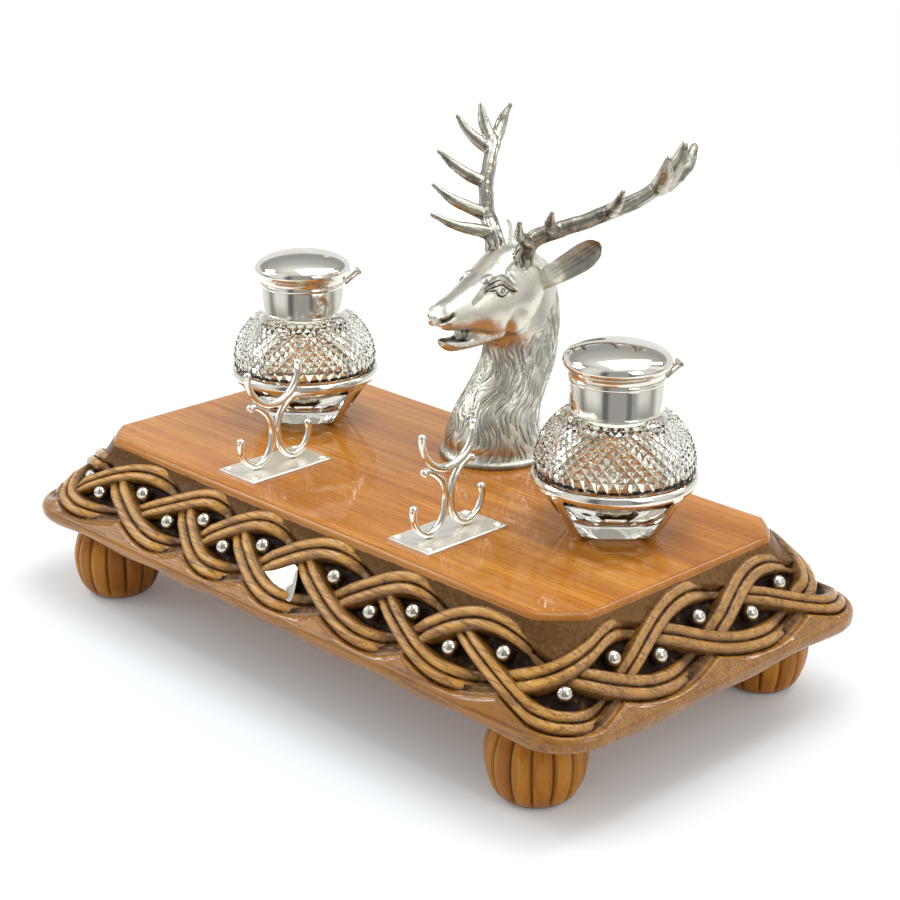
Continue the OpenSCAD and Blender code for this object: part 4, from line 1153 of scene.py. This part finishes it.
def domed_lid(name, x):
    """A moulded rim under a flat dome, hollow inside, with the hinge's upper leaf."""
    rim = [(21.0, 0), (21.4, 0.15), (21.5, 0.5), (21.5, 1.4), (21.3, 1.75), (21.0, 1.9), (20.98, 2.2),
           (21.15, 2.5), (21.2, 3.4), (21.5, 4.3), (22.2, 5.2), (23.1, 6.0), (23.8, 6.8), (24.1, 7.6),
           (LID_R, DOME_FOOT)]
    dome = [(LID_R * math.cos(a), DOME_FOOT + DOME_H * math.sin(a))
            for a in np.radians(np.arange(6, 90.1, 6))]
    inner = [(NECK_R * math.cos(a), 7.2 + 7.9 * math.sin(a)) for a in np.radians(np.arange(90, -0.1, -10))]
    outline = [(max(r, 0), h + 0.2) for r, h in rim + dome + inner + [(NECK_R, 0.3), (19.5, 0), (21.0, 0)]]
    shell = turned(name, outline, 0, 0, 0, 128)
    arm = plate_piece(name + "_leaf", leaf([(20.7, 1.2), (22.1, 1.2), (27.1, 5.05)]), 2.6)
    return smooth(on_neck(join(name, [shell, arm, barrel(name + "_knuckle", -1.3, 1.3)]), x), 32)


for side, name in ((-1, "left"), (1, "right")):
    x = side * BOTTLE_X
    band, legs = gallery_band("gallery_band_" + name, x), gallery_legs("gallery_legs_" + name, x)
    dress(band, "stand", "polished_silver", BRIGHT, "gallery_ring_" + name)
    dress(legs, "stand", "polished_silver", BRIGHT, "gallery_straps_" + name)
    dress(cut_bottle("cut_bottle_" + name, x), "bottle_" + name, "cut_glass", GLASS, "glass_" + name)
    dress(neck_collar("neck_collar_" + name, x), "bottle_" + name, "polished_silver", BRIGHT,
          "collar_" + name)
    dress(domed_lid("domed_lid_" + name, x), "lid_" + name, "polished_silver", BRIGHT, "lid_" + name)


# Stag's head: lofted masses joined into one skin, then chased

def loft(name, sections, n=40, power=1.0):
    """A closed mass through oval sections, each given by its front, its back and its half width."""
    a = np.arange(n) * 2 * math.pi / n
    s = np.sign(np.sin(a)) * np.abs(np.sin(a)) ** power
    rings = []
    for fy, fz, by, bz, w in through(sections, 4):
        my, mz, hy, hz = (fy + by) / 2, (fz + bz) / 2, (by - fy) / 2, (bz - fz) / 2
        rings.append(np.stack([-w * s, my + hy * np.cos(a), mz + hz * np.cos(a)], -1))
    return closed_skin(name, rings)


# Sections of the neck from below, and of head and jaw from the nose: front y and z, back y and z, half width
NECK = [(-24.5, 5.5, 24.5, 5.5, 24.6), (-24.5, 12, 22.5, 12, 23.2), (-20, 24, 24.5, 24, 20),
        (-12, 34, 32, 36, 18.4), (-5.5, 44, 37.6, 48, 16.8), (-3.4, 54, 40, 62, 15.6),
        (-6, 62, 38.6, 77, 15.2), (-4, 78, 34, 90, 13.5), (6, 92, 24, 97.5, 8)]
HEAD = [(-40.4, 77.4, -40.2, 74.2, 3.6), (-38.4, 80.5, -38.8, 70.7, 7.2), (-34.5, 83.2, -33.5, 68.8, 8.4),
        (-26, 86, -22, 66, 10.2), (-17, 90, -12, 62, 13.2), (-8, 95.2, -3, 59.5, 15), (1, 100.6, 5, 59, 16.6),
        (10, 102.8, 13, 62, 16.4), (20, 100.5, 20, 70, 13.5), (28, 92, 26, 78, 6)]
JAW = [(-36.6, 65.4, -36.2, 62.2, 2.6), (-33.5, 66.2, -32, 58.8, 5), (-26, 65.2, -24.5, 58, 6.4),
       (-17, 66, -14, 58.3, 8.4), (-7, 70, -3.5, 58.6, 11.5)]


def one_side(points):
    """Points of both halves of the head, all laid on its left half."""
    return np.column_stack([np.abs(points[:, 0]), points[:, 1:]])


def near_line(points, line):
    """Distance of each point from a broken line and how far along the line it lies."""
    best = np.full(len(points), 1e9)
    along = np.zeros(len(points))
    line = np.array(line, float)
    done = 0.0
    for a, b in zip(line, line[1:]):
        step = b - a
        size = np.linalg.norm(step)
        t = np.clip(((points - a) @ step) / size ** 2, 0, 1)
        d = np.linalg.norm(points - a - t[:, None] * step, axis=1)
        closer = d < best
        best = np.where(closer, d, best)
        along = np.where(closer, done + t * size, along)
        done += size
    return best, along


def fur(p):
    """Depth of the chased strokes on the neck, for points in the bust's own millimetres."""
    x, y, z = p.T
    middle = np.interp(z, [0, 12, 24, 36, 48, 62, 77, 90], [0, -1, 2.3, 10, 16, 18.5, 17, 15])
    around = np.arctan2(x, middle - y)
    wave = (0.9 + 0.35 * np.sin(around * 2.3 + 1)) * np.sin(2 * math.pi * z / 27 + 1.4 * np.abs(around) + 0.7)
    drift = 1.1 * rolling(41, around * 3 + 20, z / 12) + 0.25 * rolling(42, around * 9 + 30, z / 5)
    deep = np.zeros(len(p))
    layers = ((58, 18.0, 0.72, 0.20), (58, 12.0, 0.50, 0.15), (117, 7.0, 0.18, 0.17))
    for layer, (count, length, reach, width) in enumerate(layers):
        c = around * count / (2 * math.pi) + (wave + drift) * count / 58 + layer * 0.5 + 300
        column = np.floor(c).astype(int)
        u = np.abs(c - column - 0.5)
        shift = np.modf(np.abs(np.sin(column * 12.9898 + layer * 4.1)) * 437.585)[0]
        piece = np.modf(np.abs(z / length + shift * 3 + 5))[0]
        gate = rise(0.0, 0.16, piece) * rise(0.98, 0.62, piece)
        deep = np.maximum(deep, reach * gate * np.exp(-(u / (width * (0.6 + 0.6 * gate))) ** 2))
    edge = np.interp(y, [-30, -4, -1, 7, 14.7, 20, 27.5, 33, 40], [56.5, 57, 58, 60.4, 61.5, 69, 75, 82, 91])
    edge = edge + 1.6 * rolling(43, around * 14 + 9, z / 30)
    here = rise(0.8, -2.0, z - edge) * rise(2.2, 4.2, z)
    inside_mouth = rise(-10, -13, y) * rise(52, 56, z)
    return deep * here * (1 - inside_mouth)


# Middle of the left eye, with its directions along the slit, outwards and upwards
EYE = np.array([14.2, -9.1, 86.4])
EYE_ALONG = np.array([-0.41, -0.90, 0.11]) / np.linalg.norm([-0.41, -0.90, 0.11])
EYE_OUT = np.cross(np.array([0, 0, 1.0]), EYE_ALONG)
EYE_OUT = -EYE_OUT / np.linalg.norm(EYE_OUT)
EYE_UP = np.cross(EYE_OUT, EYE_ALONG)
EYE_UP = EYE_UP if EYE_UP[2] > 0 else -EYE_UP

# Engraving round an eye in the eye's own plane: the edge of the tear duct's band, the ridge of the brow, and
# lines with their depth, width, shade and the lift of the rim beside them
TEAR_BAND = [(14.3, -5.6), (11.2, -2.6), (8.0, 1.0), (4.0, 4.4), (0.6, 5.6), (-2.4, 4.4), (-5.3, 1.7)]
BROW_RIDGE = [(12.2, 2.6), (8.4, 5.0), (4.2, 7.4), (0.2, 8.1), (-3.4, 6.4), (-6.5, 3.4)]
LOWER_LID = [(8.2, -1.0), (3.9, -0.1), (2.2, -2.1), (0, -2.85), (-2.1, -2.1), (-3.5, -0.1), (-6.9, -0.8)]
UPPER_LID = [(8.2, -0.5), (4.3, 1.5), (1.3, 2.7), (-0.9, 2.5), (-3.5, 0.4), (-6.9, -0.6)]
LID_FOLD = [(8.6, 0.6), (4.6, 3.0), (1.3, 4.2), (-1.6, 3.6), (-4.4, 1.4), (-7.2, -0.2)]
PUPIL = [(1.05, 0.1), (0.7, 0.8), (0, 1.05), (-0.75, 0.75), (-1.05, 0), (-0.75, -0.75), (0, -1.05),
         (0.75, -0.75), (1.05, 0.1)]
UNDER_EYE = [(3.0, -1.4), (0.4, -3.4), (-2.6, -2.8)]
EYE_LINES = [(LOWER_LID, 0.35, 0.30, 0.9, 0.22), (UPPER_LID, 0.5, 0.36, 0.95, 0.30),
             (LID_FOLD, 0.35, 0.26, 0.9, 0.30), (PUPIL, 0.34, 0.26, 0.95, 0.0),
             (UNDER_EYE, 0.15, 0.2, 0.4, 0.0)]
# Engraving of the nostril and the curl over it, in the bust's own millimetres
NOSTRIL = [(4.0, -40.1, 75.8), (5.6, -39.4, 76.4), (7.1, -37.8, 77.2), (7.8, -35.6, 78.7)]
NOSE_CURL = [(4.0, -40.2, 77.2), (5.0, -39.6, 78.8), (6.6, -38.2, 79.3), (7.6, -36.4, 79.9)]
NOSE_SEAM = [(0, -40.8, 74.2), (0, -40.0, 72.0)]


def face(p):
    """Height changes and dark recesses of eyes, tear ducts and nostrils, and the seam under the nose."""
    q = one_side(p)
    near = q - EYE
    a, b, c = near @ EYE_ALONG, near @ EYE_UP, near @ EYE_OUT
    flat = np.stack([a, b], -1)
    here = (rise(7, 3.5, np.abs(c))) * (q[:, 0] > 3)
    almond = ((a - 0.2) / (3.7 - 0.5 * (b > 0))) ** 2 + ((b + 0.3) / np.where(b > -0.3, 2.0, 2.3)) ** 2
    h = here * (0.6 * np.clip(1 - almond, 0, 1) ** 0.5 - 0.45 * rise(1.9, 1.0, almond))
    d, along = near_line(flat, TEAR_BAND)
    half = np.interp(along, [0, 3, 8, 14, 20, 24], [0.7, 0.85, 0.8, 0.75, 0.6, 0.3])
    band = here * rise(2.1, 1.2, d / half)
    hatch = 0.5 + 0.5 * np.cos(2 * math.pi * along / 0.75)
    h -= band * (0.35 + 0.16 * hatch * rise(11, 8, along))
    dark = band * (0.34 + 0.14 * hatch)
    for line, depth, width, shade, lift in EYE_LINES:
        d = near_line(flat, line)[0]
        groove = np.exp(-(d / width) ** 2)
        h += here * (lift * np.exp(-((d - 2.1 * width) / width) ** 2) - depth * groove)
        dark = np.maximum(dark, here * shade * groove)
    h += here * 0.5 * np.exp(-(near_line(flat, BROW_RIDGE)[0] / 1.3) ** 2)
    d, curl, seam = (near_line(q, line)[0] for line in (NOSTRIL, NOSE_CURL, NOSE_SEAM))
    h += 0.55 * np.exp(-((d - 1.7) / 0.6) ** 2) - 1.5 * np.exp(-(d / 0.75) ** 2)
    h -= 0.3 * np.exp(-(curl / 0.35) ** 2) + 0.3 * np.exp(-(seam / 0.4) ** 2)
    nose = [np.exp(-(d / 0.85) ** 2), 0.8 * np.exp(-(curl / 0.4) ** 2), 0.4 * np.exp(-(seam / 0.4) ** 2)]
    dark = np.maximum.reduce([dark] + nose)
    return h, dark


def stag_mass():
    """Neck, head, jaw and round foot with brows, eyes, mouth corners, cheeks and nose wings, as one skin."""
    foot = [(0, 0), (26.6, 0), (27, 0.4), (27, 1.8), (26.6, 2.3), (25.6, 3.2), (24.4, 6), (0, 6)]
    parts = [loft("stag", NECK), loft("head", HEAD, 44, 0.8), loft("jaw", JAW, 32)]
    parts.append(turned("foot", foot, 0, 0, 0, 96))
    for s in (-1, 1):
        parts += [ball("brow", s * 5.6, -8.6, 90.4, 5.2, squash=(0.75, 1.2, 0.55),
                       turn=(0, 0, s * math.radians(14))),
                  ball("eye", s * 10.2, -8.8, 86.4, 3.6, squash=(1, 1.25, 0.95)),
                  ball("mouth_corner", s * 4.4, -14.0, 65.0, 6.0, squash=(0.65, 1.45, 0.95)),
                  ball("cheek", s * 9.2, 2.5, 73, 8.6, squash=(0.85, 1.25, 1.35)),
                  ball("nose_wing", s * 4.4, -36.2, 76.9, 2.7, squash=(0.9, 1.35, 0.95))]
    bust = join("stag_head_and_neck", parts)
    use(bust, "REMESH", mode="VOXEL", voxel_size=0.56 * MM)
    return use(bust, "SMOOTH", factor=0.5, iterations=11)


def mouth_hollows(p, normal):
    """Share of each point in the hollow of the lower jaw and in the vault of the palate."""
    x, y, z = np.abs(p[:, 0]), p[:, 1], p[:, 2]
    jaw = rise(-16.5, -19, y) * rise(0.2, 0.75, normal[:, 2]) * rise(61, 62.5, z) * (z < 67.5)
    palate = rise(-15, -19, y) * rise(-0.2, -0.75, normal[:, 2]) * (z > 64) * (z < 73)
    jaw_half = np.interp(y, [-37, -33.5, -26, -17], [2.0, 4.2, 5.6, 7.4])
    palate_half = np.interp(y, [-41, -38, -30, -20], [2.5, 5.2, 6.8, 8.5])
    return jaw * rise(1.0, 0.55, x / jaw_half), palate * rise(1.0, 0.6, x / palate_half)


def finer_face(bust):
    """Divides the faces round the eyes and nostrils once more, for the engraving."""
    alone(bust)
    bpy.ops.object.mode_set(mode="EDIT")
    bpy.ops.mesh.select_all(action="DESELECT")
    bpy.ops.object.mode_set(mode="OBJECT")
    q = one_side(np.array([side.center[:] for side in bust.data.polygons]) / MM)
    a, b, c = (q - EYE) @ EYE_ALONG, (q - EYE) @ EYE_UP, (q - EYE) @ EYE_OUT
    eye = (np.abs(a - 3.5) < 12.5) & (np.abs(b - 1) < 9.5) & (np.abs(c) < 6)
    nostril = np.linalg.norm(q - [6, -38.2, 77.4], axis=1) < 5.5
    bust.data.polygons.foreach_set("select", eye | nostril)
    bpy.ops.object.mode_set(mode="EDIT")
    bpy.ops.mesh.select_mode(type="FACE")
    bpy.ops.mesh.subdivide(number_cuts=1, smoothness=0.0)
    bpy.ops.object.mode_set(mode="OBJECT")


def stag_skin():
    """The bust with its open mouth, then the engraved face, the forehead and the fur."""
    bust = stag_mass()
    p = points_of(bust)
    jaw, palate = mouth_hollows(p, normals_of(bust))
    p[:, 2] += 1.6 * palate - 2.6 * jaw
    p[:, 2] = np.where(p[:, 2] < 0.45, 0, p[:, 2])
    set_points(bust, p)
    mark(bust, "mouth", np.maximum(jaw, palate))
    finer_face(bust)
    p = points_of(bust)
    inside = np.zeros(len(p), np.float32)
    bust.data.attributes["mouth"].data.foreach_get("value", inside)
    stroke, top_strokes = fur(p), forehead(p)
    change, dark = face(p)
    fine = 0.05 * rolling(51, p[:, 0] / 1.5 + 30, p[:, 1] / 3 + 30, p[:, 2] / 3 + 5) * rise(58, 62, p[:, 2])
    h = change - stroke + fine + 0.12 * rise(0.0, 0.3, stroke) - top_strokes
    p = p + normals_of(bust) * h[:, None]
    p[:, 2] = np.maximum(p[:, 2], 0)
    set_points(bust, p + BUST_AT)
    # Painted shade and oxide in the chased strokes and engraved lines; painted shade inside the mouth and at
    # the foot of the bust
    darks = [0.66 * np.clip(stroke / 0.66, 0, 1) ** 1.3, dark, inside * 0.85, top_strokes * 1.1]
    mark(bust, "hollow", np.maximum.reduce(darks + [0.5 * rise(3.2, 2.0, p[:, 2])]))
    return smooth(bust, 60)


def forehead(p):
    """Bold leaf-shaped strokes under each antler and fine ones between the brows."""
    q = one_side(p)
    deep = np.zeros(len(p))
    for k in range(9):
        a = -2.2 + k * 0.42
        foot = np.array([9.6 + 6.6 * math.sin(a) * 0.72, 9.5 - 7.4 * math.cos(a),
                         93.5 + 1.0 * math.sin(k * 2.4)])
        head = np.array([9.2 + 4.6 * math.sin(a), 9.5 - 4.9 * math.cos(a), 101.5])
        d = near_line(q, [foot, head])[0]
        deep = np.maximum(deep, 0.75 * np.exp(-(d / 0.62) ** 2))
    for k in range(7):
        x = 0.6 + 1.35 * k
        low = (x, -11 + 1.2 * math.sin(k * 1.9), 94 + 0.1 * k)
        high = (x + 0.8, -5.5 + 1.6 * math.sin(k * 2.7), 97.2)
        d = near_line(q, [low, high])[0]
        deep = np.maximum(deep, 0.16 * np.exp(-(d / 0.3) ** 2))
    return deep


dress(stag_skin(), "stand", "satin_silver", SATIN, "stag_bust")


def stag_ear(name, s):
    """A pointed ear, hollow in front, with fine strokes in the hollow."""
    along = np.array([16.2, 18.7, 15.6]) / np.linalg.norm([16.2, 18.7, 15.6])
    flat = np.array([0.75, -0.66, 0.0])
    flat = flat - (flat @ along) * along
    flat = flat / np.linalg.norm(flat)
    wide = np.cross(along, flat)
    path = through([(11.6, 17, 85, 4.8), (13.6, 19.5, 87, 5.2), (17.4, 24, 90, 5.9), (21.4, 28.8, 93.6, 6.5),
                    (25.6, 33.6, 97.6, 6.8), (29, 37.4, 101.4, 5.2), (30.9, 39.4, 103.6, 1.5)], 6)
    n = 40
    a = np.arange(n) * 2 * math.pi / n
    rings, cups = [], []
    for k, (x, y, z, w) in enumerate(path):
        t = k / (len(path) - 1)
        side = np.sin(a)
        front = np.cos(a) > 0
        room = np.sqrt(np.clip(1 - side ** 2, 0, 1))
        back = 0.9 + 0.34 * w
        cup = (back - 0.6) * rise(0.20, 0.42, t) * rise(1.0, 0.9, t)
        swell = (0.5 + 0.5 * back * (1 - rise(0.15, 0.4, t))) * room ** 0.5
        depth = np.where(front, swell - cup * room ** 1.3, -back * room)
        groove = 0.16 * np.cos(side * 24) * room * rise(0.2, 0.35, t) * rise(0.8, 0.5, t) * front
        curl = 0.8 * np.sin(a) ** 2
        depth = depth - groove + curl * 0.6
        rings.append(np.array([x, y, z]) + w * np.outer(side, wide) + np.outer(depth, flat))
        # Painted shade in the front hollow, darker along the fine strokes
        shade = 0.55 + 0.3 * (np.cos(side * 24) > 0.3) - 0.25 * rise(0.6, 0.3, t)
        cups.append(front * room * shade * rise(0.12, 0.35, t))
    rings = np.array(rings) * [s, 1, 1] + BUST_AT
    return smooth(closed_skin(name, rings, np.array(cups).ravel() * 0.8), 50)


# Points and radii of the antler's beam, and the radii along each tine, in the bust's own millimetres
BEAM = [(8.0, 8.6, 92.5, 5.6), (8.4, 9, 95.5, 5.5), (9.6, 9.6, 100.5, 4.7), (13.2, 11, 107, 4.1),
        (22.9, 17, 112.6, 3.85), (32.5, 26, 117, 3.6), (41.4, 35, 122, 3.75), (49.5, 45, 127.6, 3.6),
        (56.5, 54, 134.8, 3.4), (57.4, 55.2, 136.4, 2.6)]
TINE_RADII = (3.6, 3.2, 2.75, 1.25)


def tines(lift, crown, wide):
    """Root, knee, middle, tip and thickness of the six points, which differ a little between the sides."""
    front_tip, high_tip = (29, -14.2, 120 + lift), (60.6, 70.6 + crown / 6, 150.2 + crown)
    low_bend = (14.6, 3.2, 109.0 + lift * 0.2)
    return [((12.4, 10.8, 105.0), low_bend, (20, -5.0, 112.4 + lift / 2), front_tip, 1.0),
            ((22.4, 17.0, 112.0), (26.8, 9.6, 116.0), (32.2, 2.9, 120.2), (39.2, -3.4, 127.4), 1.0),
            ((41, 34.8, 121.6), (46.6, 29.8, 124.8), (52.8, 26.0, 129), (60.6, 20.6, 136.8), 1.0),
            ((55.2, 52.6, 133), (60.0, 48.8, 137.2), (64.6, 45.4, 142.2), (69.0, 41.8, 150.2), 0.95 * wide),
            ((56, 53.6, 134), (60.0, 54.8, 140), (64.2, 55.4, 146.8), (66.6, 55.8, 154.4), wide),
            ((56.4, 54, 134.2), (59.2, 60, 138.6), (61.2, 65.6, 144.0 + crown / 3), high_tip, wide)]


def antler(name, s, lift, crown, wide):
    """A bent beam with its tines, ribbed along the beam, chased round the root and darkened in streaks."""
    parts = [rod(name, [(s * x, y, z, r * 1.05) for x, y, z, r in BEAM], sides=7, fine=6)]
    for root, knee, middle, tip, k in tines(lift, crown, wide):
        path = [(s * x, y, z, r * k) for (x, y, z), r in zip((root, knee, middle, tip), TINE_RADII)]
        parts.append(rod(name + "_tine", path, sides=5, fine=6))
        parts.append(ball(name + "_tip", s * tip[0], tip[1], tip[2], 1.22 * k, 12, 8))
    piece = join(name, parts)
    use(piece, "REMESH", mode="VOXEL", voxel_size=0.52 * MM)
    use(piece, "SMOOTH", factor=0.5, iterations=3)
    p = points_of(piece)
    normal = normals_of(piece)
    q = p * [s, 1, 1]
    d, along = near_line(q, [k[:3] for k in BEAM])
    axis = np.array([0.63, 0.62, 0.47])
    u = np.cross(axis, [0, 0, 1.0])
    u /= np.linalg.norm(u)
    v = np.cross(axis, u)
    line = np.array([k[:3] for k in BEAM])
    lengths = np.concatenate([[0], np.cumsum(np.linalg.norm(np.diff(line, axis=0), axis=1))])
    centre = np.stack([np.interp(along, lengths, line[:, k]) for k in range(3)], -1)
    angle = np.arctan2((q - centre) @ v, (q - centre) @ u)
    on_beam = rise(6.2, 5.0, d)
    ribs = np.clip(np.cos(angle * 7 + 1.4 * rolling(61, along / 9 + 4, angle + 9) + along * 0.06), 0, 1) ** 3
    lumps = 0.30 * rolling(62, p[:, 0] / 5 + 30, p[:, 1] / 5 + 30, p[:, 2] / 5 + 20)
    lumps = lumps + 0.10 * rolling(63, p[:, 0] / 1.8 + 30, p[:, 1] / 1.8 + 20, p[:, 2] / 1.8)
    root = rise(13, 9, along)
    strokes = root * np.clip(np.cos(angle * 9 + 0.8 * np.sin(along)), 0, 1) ** 2 * on_beam
    groove = 0.30 * ribs * on_beam * (1 - root) + 0.55 * strokes
    p = p + normal * (lumps - groove + 0.25 * root * (1 - strokes))[:, None]
    set_points(piece, p + BUST_AT)
    # Painted shade and oxide between the ribs and in the chased strokes; tarnish in random streaks
    wide_streak = rolling(64, q[:, 0] / 7 + 30, q[:, 1] / 7 + 30, q[:, 2] / 4 + 20)
    fine_streak = rolling(65, q[:, 0] / 2 + 30, q[:, 1] / 2 + 30, q[:, 2] / 1.5 + 20)
    streak = 0.62 * rise(0.15, 0.8, wide_streak + 0.45 * fine_streak)
    mark(piece, "hollow", np.maximum.reduce([ribs * on_beam * 0.6 * (1 - root), strokes * 0.95, streak]))
    return smooth(piece, 60)


for name, s, lift, crown, wide in (("left", 1, 2.5, 0, 1.4), ("right", -1, -3.5, 3.0, 1.1)):
    dress(antler("antler_of_six_points_" + name, s, lift, crown, wide), "stand", "satin_silver", ANTLERS,
          "antler_" + name)
    dress(stag_ear("cupped_ear_" + name, s), "stand", "satin_silver", SATIN, "stag_ear_" + name)


# Fixings that keep their shape from the solids
for name, material in (("foot_dowels", DOWEL), ("gallery_screws", BRASS), ("stag_washer", BRASS),
                       ("stag_nut", BRASS), ("stag_stud", STEEL), ("hinge_pin_left", BRIGHT),
                       ("hinge_pin_right", BRIGHT)):
    nodes[name].data.materials.clear()
    nodes[name].data.materials.append(material)


# Studio: floor, backdrop light and lamps

def light_paths(tree):
    """Whether a ray comes from the camera, and whether it comes from metal or through glass."""
    rays = put(tree, "LightPath").outputs
    return rays["Is Camera Ray"], sums(tree, "MAXIMUM", rays["Is Glossy Ray"], rays["Is Transmission Ray"])


def studio_floor():
    """A sheet of pale paper, longer away from the camera than it is wide."""
    floor = added("floor", bpy.ops.mesh.primitive_plane_add, size=1, location=(-0.58, 0.56, -0.0002),
                  rotation=(0, 0, math.radians(46)))
    floor.scale = (0.84, 2.35, 1)
    settle(floor)
    material = bpy.data.materials.new("pale floor")
    tree = emptied(material)
    seen = sums(tree, "MAXIMUM", *light_paths(tree))
    spot = put(tree, "TexCoord").outputs["Object"]
    away = put(tree, "VectorMath", {0: spot}, operation="LENGTH").outputs[1]
    # Painted cool tint near the stand, which offsets the warm light that the wood bounces into its shadow
    paper = blend(tree, scale_to(tree, away, 0.13, 0.30), (0.80, 0.862, 0.898, 1), (0.920, 0.917, 0.912, 1))
    matt = put(tree, "BsdfDiffuse", {"Color": paper})
    level = scale_to(tree, away, 0.22, 0.85, 0.10, 0.60)
    glow = put(tree, "Emission", {"Color": (1, 1, 1, 1), "Strength": times(tree, seen, level)})
    both = put(tree, "AddShader", {0: matt.outputs[0], 1: glow.outputs[0]})
    put(tree, "OutputMaterial", {"Surface": both.outputs[0]})
    floor.data.materials.append(material)


def studio_world():
    """White to the camera; for metal and glass a room with a lit backdrop, soft lights and dark gaps."""
    world = bpy.data.worlds.new("studio")
    bpy.context.scene.world = world
    tree = emptied(world)
    way = put(tree, "SeparateXYZ", {0: put(tree, "TexCoord").outputs["Generated"]})
    x, y, z = way.outputs

    def towards(degrees, half, soft):
        """1 in a sector of directions round the stand."""
        a = math.radians(degrees)
        flat = sums(tree, "MAXIMUM", sums(tree, "SUBTRACT", 1.0, times(tree, z, z)), 0.0001)
        ahead = sums(tree, "ADD", times(tree, x, math.cos(a)), times(tree, y, math.sin(a)))
        near = sums(tree, "DIVIDE", ahead, sums(tree, "SQRT", flat))
        inner, outer = math.radians(max(half - soft, 0)), math.radians(half + soft)
        return scale_to(tree, near, math.cos(outer), math.cos(inner))

    def between(low, high, soft):
        """1 between two heights in degrees."""
        edge = [math.sin(math.radians(a)) for a in (low - soft, low + soft, high - soft, high + soft)]
        return times(tree, scale_to(tree, z, edge[0], edge[1]), scale_to(tree, z, edge[2], edge[3], 1.0, 0.0))

    under = scale_to(tree, z, math.sin(math.radians(20)), math.sin(math.radians(22)), 1.0, 0.0)
    room = sums(tree, "MULTIPLY_ADD", times(tree, towards(136, 80, 10), under), 0.52, 0.40)
    # Heading, half width and softness, lower and upper edge with their softness, and added light of each zone
    for turn, half, soft, low, high, step, amount in (
            (136, 70, 12, 38, 80, 8, 0.15), (130.9, 1.0, 0.7, 21.5, 25, 0.8, 0.8), (50, 9, 4, 5, 60, 3, 0.7),
            (-110, 20, 12, -10, 56, 9, 0.5), (20, 15, 10, -10, 56, 9, 0.45), (-75, 6, 5, -40, 40, 6, -0.24),
            (-142, 14, 10, -20, 45, 8, -0.2), (-18, 5, 4, -40, 30, 6, -0.2)):
        zone = times(tree, towards(turn, half, soft), between(low, high, step))
        room = sums(tree, "MULTIPLY_ADD", zone, amount, room)
    room = sums(tree, "MULTIPLY_ADD", scale_to(tree, z, 0.70, 1.0), 0.5, room)
    to_camera, reflected = light_paths(tree)
    level = put(tree, "Mix", {0: reflected, 2: 0.62, 3: room}, data_type="FLOAT").outputs[0]
    level = put(tree, "Mix", {0: to_camera, 2: level, 3: 1.0}, data_type="FLOAT").outputs[0]
    light = put(tree, "Background", {"Color": (1, 1, 1, 1), "Strength": level})
    put(tree, "OutputWorld", {"Surface": light.outputs[0]})


def lamp(name, place_at, aim, size, power, tall=None):
    """A square lamp, or an upright one where its height is given."""
    light = added(name, bpy.ops.object.light_add, type="AREA", location=place_at)
    light.data.shape = "RECTANGLE"
    light.data.size, light.data.size_y = size, tall or size
    light.data.energy = power
    light.rotation_euler = (Vector(aim) - Vector(place_at)).to_track_quat("-Z", "Y").to_euler()


studio_floor()
studio_world()
lamp("softbox over the top", (0.15, 0.25, 1.15), (0, 0, 0.06), 0.9, 5.9)
lamp("softbox on the left", (-0.95, -0.75, 0.75), (0, 0, 0.1), 0.5, 3.2, 0.9)
lamp("softbox on the right", (1.05, -0.1, 0.7), (0, 0, 0.1), 0.45, 2.0, 0.8)
lamp("narrow light on the left", (-0.80, -0.29, 0.85), (0, 0, 0.06), 0.12, 1.9, 0.34)
lamp("narrow light at the back", (0.29, 0.80, 0.85), (0, 0, 0.06), 0.12, 1.7, 0.34)

# Camera, as the photograph was taken
camera_data = bpy.data.cameras.new("camera")
camera_data.lens, camera_data.sensor_width = 85.12, 36
camera = bpy.data.objects.new("camera", camera_data)
bpy.context.scene.collection.objects.link(camera)
camera.location = (0.68716, -0.65860, 0.44316)
camera.rotation_euler = Vector((-0.67351, 0.65327, -0.34587)).to_track_quat("-Z", "Y").to_euler()
bpy.context.scene.camera = camera
bpy.context.scene.view_settings.view_transform = "Standard"
